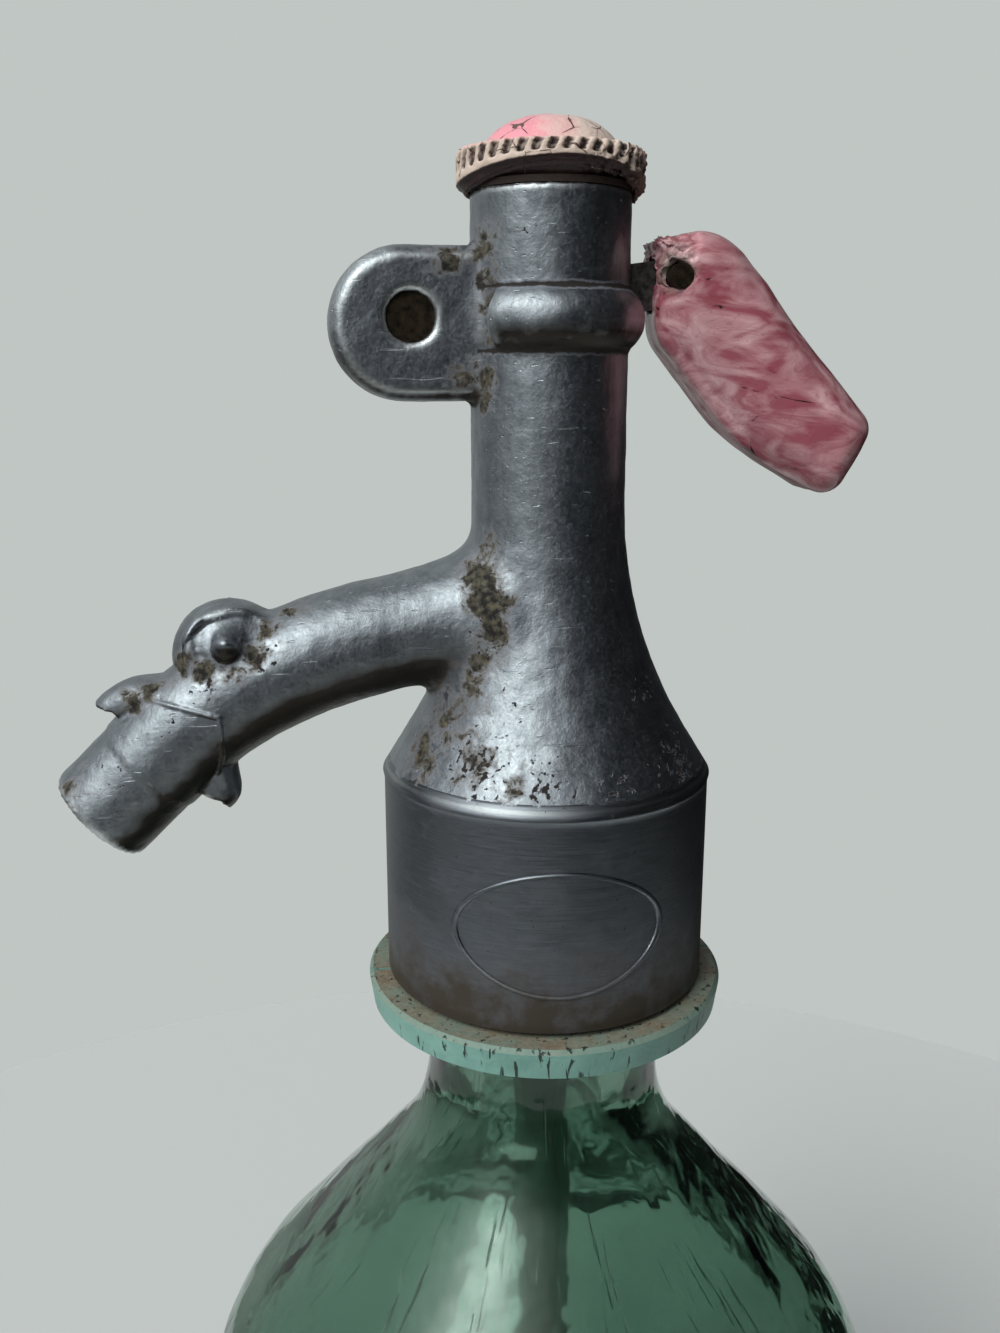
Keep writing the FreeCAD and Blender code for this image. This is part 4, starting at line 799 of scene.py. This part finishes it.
def cap_plastic():
    """Worn pressed plastic of the cap: pink dome faded to beige, cream ribs, dark cracks, painted
    shadow under the rim.
    """
    material, tree, shader, place = new_material(
        "faded_cap_plastic", IOR=1.52, Coat_Weight=0.3, Coat_Roughness=0.25)
    wear = add(tree, "Attribute", out="Fac", attribute_name="wear")
    side = add(tree, "SeparateXYZ", {0: place}, out="X")
    height = add(tree, "SeparateXYZ", {0: place}, out="Z")
    cloud = add(tree, "TexNoise", {"Vector": place, "Scale": per(3.5), "Detail": 5.0,
                                   "Roughness": 0.6, "Distortion": 0.6})
    grain = add(tree, "TexNoise", {"Vector": place, "Scale": per(0.5), "Detail": 4.0})
    faded = add(tree, "MapRange", {"Value": side, "From Min": -6 * MM, "From Max": 4 * MM})
    shade = add(tree, "Math", {0: cloud, 1: 1.2, 2: faded}, operation="MULTIPLY_ADD")
    pale = add(tree, "MapRange", {"Value": shade, "From Min": 0.85, "From Max": 1.5})
    dome = add(tree, "Mix", {0: pale, 6: tint("#dd8f95"), 7: tint("#d8c3b2")}, **COLOUR)
    skirt = add(tree, "MapRange", {"Value": height, "From Min": CAP_BRIM + 0.5 * MM,
                                   "From Max": CAP_BRIM - 0.5 * MM})
    ribs = add(tree, "MapRange", {"Value": wear, "From Min": -0.045, "From Max": 0.0})
    rib_colour = add(tree, "Mix", {0: ribs, 6: tint("#2c201b"), 7: tint("#c3b09d")}, **COLOUR)
    # Painted shadow: faces under the skirt's rim that look down turn dark brown
    underside_shade = add(tree, "MapRange", {"Value": facing_up(tree), "From Min": 0.0, "From Max": -0.45})
    underside_shade_colour = add(tree, "Mix", {0: cloud, 6: tint("#150b09"), 7: tint("#4d2d29")}, **COLOUR)
    low = add(tree, "Mix", {0: underside_shade, 6: rib_colour, 7: underside_shade_colour}, **COLOUR)
    plain = add(tree, "Mix", {0: skirt, 6: dome, 7: low}, **COLOUR)
    crack = cracks(tree, place, 5.0, cloud, 0.14, (0.078, 0.066))
    cracked = add(tree, "Mix", {0: crack, 6: plain, 7: tint("#5a3d34")}, **COLOUR)
    rubble_share = add(tree, "MapRange", {"Value": side, "From Min": 8.5 * MM,
                                          "From Max": 11 * MM})
    rubble = add(tree, "Mix", {0: grain, 6: tint("#3a2a24"), 7: tint("#a5897a")}, **COLOUR)
    colour = add(tree, "Mix", {0: rubble_share, 6: cracked, 7: rubble}, **COLOUR)
    rough = add(tree, "MapRange", {"Value": skirt, "To Min": 0.4, "To Max": 0.7})
    relief = add(tree, "Math", {0: crack, 1: -1.5, 2: grain}, operation="MULTIPLY_ADD")
    finish_material(tree, shader, colour, rough, relief, 0.12 * MM)
    return material


def plain_finish(name, tones, roughness, grain_mm, metallic, relief_mm=0.01, **shader_values):
    """A finish with one even pattern: two tones and two roughnesses mixed by fine noise."""
    material, tree, shader, place = new_material(name, Metallic=metallic, **shader_values)
    grain = add(tree, "TexNoise", {"Vector": place, "Scale": per(grain_mm), "Detail": 5.0,
                                   "Roughness": 0.6})
    mixed = add(tree, "MapRange", {"Value": grain, "From Min": 0.35, "From Max": 0.65})
    colour = add(tree, "Mix", {0: mixed, 6: tint(tones[0]), 7: tint(tones[1])}, **COLOUR)
    rough = add(tree, "MapRange", {"Value": mixed, "To Min": roughness[0], "To Max": roughness[1]})
    finish_material(tree, shader, colour, rough, grain, relief_mm * MM)
    return material


# Slot of the record -> the finish that its pieces get
FINISHES = {
    "cast_aluminium": cast_aluminium(),
    "green_glass": bottle_glass(),
    "clear_glass": tube_glass(),
    "mint_plastic": mint_plastic(),
    "marbled_plastic": marbled_plastic(),
    "cap_plastic": cap_plastic(),
    # Moulded plastic gone ivory, a little uneven
    "cream_plastic": plain_finish("moulded_cream_plastic", ("#b9ae92", "#d4cab0"), (0.4, 0.6),
                                  2.0, 0.0, IOR=1.5),
    # Vulcanised rubber: near black, dusty, no gloss
    "black_rubber": plain_finish("vulcanised_rubber", ("#17181a", "#2b2a29"), (0.7, 0.9),
                                 0.8, 0.0, IOR=1.52),
    # Turned brass, clean where it is wetted
    "brass": plain_finish("turned_brass", ("#a5853f", "#c9a65a"), (0.25, 0.4), 1.2, 1.0),
    # Brass gone brown with age and handling
    "dark_brass": plain_finish("tarnished_brass", ("#1f1a14", "#3d3324"), (0.45, 0.7), 0.9, 0.8),
    # Drawn spring wire: bright and smooth
    "spring_steel": plain_finish("drawn_spring_wire", ("#8a8d90", "#a9acae"), (0.2, 0.35),
                                 0.6, 1.0),
    # Stamped steel with dull plating
    "lever_steel": plain_finish("dull_plated_steel", ("#3d3b39", "#6b6966"), (0.4, 0.65),
                                0.8, 0.9, 0.03),
    # Vulcanised fibre: brown, matt, slightly hairy
    "fibre": plain_finish("vulcanised_fibre", ("#1f1712", "#372a20"), (0.75, 0.9), 0.5, 0.0,
                          IOR=1.5),
}
TURNED = turned_aluminium()


def dress(piece, body, slot, material=None):
    """Gives a new piece its body and the finish of a slot."""
    piece.data.materials.clear()
    piece.data.materials.append(material or FINISHES[slot])
    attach(piece, body)


def dress_nodes():
    """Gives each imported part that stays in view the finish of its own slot."""
    for part in frame["record"]["subparts"]:
        node = frame["nodes"][part["node"]]
        node.data.materials.clear()
        node.data.materials.append(FINISHES[part["material_slot"]])


# ---------------------------------------------------------------------------------------------
# Stage, light and camera
# ---------------------------------------------------------------------------------------------
def make_stage():
    """A round pale floor under the bottle's foot."""
    bpy.ops.object.select_all(action="DESELECT")
    bpy.ops.mesh.primitive_circle_add(vertices=96, radius=350 * MM, fill_type="NGON",
                                      location=(0, 0, -0.2 * MM))
    floor = bpy.context.object
    floor.name = "floor"
    floor.data.materials.append(new_material(
        "pale_floor", Base_Color=tint("#b8bcb5"), Roughness=0.9, Specular_IOR_Level=0.2)[0])


# The studio: its lamp stands high on the spout's side over a pale table top, and its pale wall
# is behind the siphon
LAMP_SIDE = Vector((-0.56, -0.50, 0.70)).normalized()
TABLE_SIDE = Vector((-0.85, -0.47, -0.30)).normalized()
WALL_SIDE = Vector((-0.35, 0.85, 0.38)).normalized()


def make_world():
    """Studio room: a soft lamp from above on the spout's side, dark on the grip's side.

    The camera sees a plain pale backdrop all round. Metal and glass show that backdrop too, as
    bright as the room is in the direction that they show.
    """
    world = bpy.data.worlds.new("studio")
    bpy.context.scene.world = world
    world.use_nodes = True
    tree = world.node_tree
    back = tree.nodes["Background"]
    way = add(tree, "TexCoord")
    to_lamp = add(tree, "VectorMath", {0: way, 1: LAMP_SIDE}, out="Value", operation="DOT_PRODUCT")
    lamp_side = add(tree, "Math", {0: to_lamp, 1: 0.0}, operation="MAXIMUM")
    wide = add(tree, "Math", {0: lamp_side, 1: 8.0}, operation="POWER")
    tight = add(tree, "Math", {0: lamp_side, 1: 60.0}, operation="POWER")
    lamp = add(tree, "Math", {0: tight, 1: 1.3, 2: wide}, operation="MULTIPLY_ADD")
    to_table = add(tree, "VectorMath", {0: way, 1: TABLE_SIDE}, out="Value",
                   operation="DOT_PRODUCT")
    to_wall = add(tree, "VectorMath", {0: way, 1: WALL_SIDE}, out="Value", operation="DOT_PRODUCT")
    wall = add(tree, "MapRange", {"Value": to_wall, "From Min": 0.4, "From Max": 0.92,
                                  "To Min": 0.012, "To Max": 0.7}, interpolation_type="SMOOTHSTEP")
    table = add(tree, "MapRange", {"Value": to_table, "From Min": 0.3, "From Max": 1.0,
                                   "To Min": 0.0, "To Max": 0.26}, interpolation_type="SMOOTHSTEP")
    around = add(tree, "Math", {0: wall, 1: table})
    room = add(tree, "Math", {0: lamp, 1: 4.4, 2: around}, operation="MULTIPLY_ADD")
    camera_ray = add(tree, "LightPath", out="Is Camera Ray")
    rays = camera_ray.node.outputs
    mirrored = add(tree, "Math", {0: rays["Is Glossy Ray"], 1: rays["Is Transmission Ray"]},
                   operation="MAXIMUM")
    shown = add(tree, "Math", {0: camera_ray, 1: mirrored}, operation="MAXIMUM")
    strength = add(tree, "Mix", {0: camera_ray, 2: room, 3: 1.0})
    colour = add(tree, "Mix", {0: shown, 6: tint("#f2f6ff"), 7: tint("#c0c6c3")}, **COLOUR)
    tree.links.new(colour, back.inputs["Color"])
    tree.links.new(strength, back.inputs["Strength"])


def make_sun():
    """A far lamp, soft enough to blur the shadow's edge; metal shows the room's lamp instead."""
    lamp = bpy.data.lights.new("key", "SUN")
    lamp.energy, lamp.angle = 1.3, math.radians(30)
    holder = bpy.data.objects.new("key", lamp)
    bpy.context.scene.collection.objects.link(holder)
    holder.rotation_euler = LAMP_SIDE.to_track_quat("Z", "Y").to_euler()
    holder.visible_glossy = False


def make_camera():
    """The camera stands before the head, a little above it and to the spout's side."""
    place = Vector((-30.67, -157.8, 279.4)) * MM
    heading, pitch = math.radians(-8.73), math.radians(13.83)
    camera = bpy.data.cameras.new("camera")
    camera.lens, camera.sensor_width = 32.41, 36.0
    camera.clip_start = 0.01
    holder = bpy.data.objects.new("camera", camera)
    bpy.context.scene.collection.objects.link(holder)
    turn = Matrix.Rotation(heading, 4, "Z") @ Matrix.Rotation(math.pi / 2 - pitch, 4, "X")
    holder.matrix_world = Matrix.Translation(place) @ turn
    bpy.context.scene.camera = holder


# ---------------------------------------------------------------------------------------------
# Everything together
# ---------------------------------------------------------------------------------------------
bpy.ops.object.select_all(action="DESELECT")
dress_nodes()
casting = make_casting()
mark_wear(casting, 16)
dress(casting, "siphon", "cast_aluminium")
dress(make_collar(), "siphon", "cast_aluminium", TURNED)
dress(make_bottle(), "siphon", "green_glass")
dress(make_grip(), "lever", "marbled_plastic")
cap = make_cap()
mark_wear(cap, 8)
dress(cap, "cap", "cap_plastic")
dress(make_spring(), "siphon", "spring_steel")

make_stage()
make_world()
make_sun()
make_camera()
bpy.context.scene.view_settings.view_transform = "Standard"
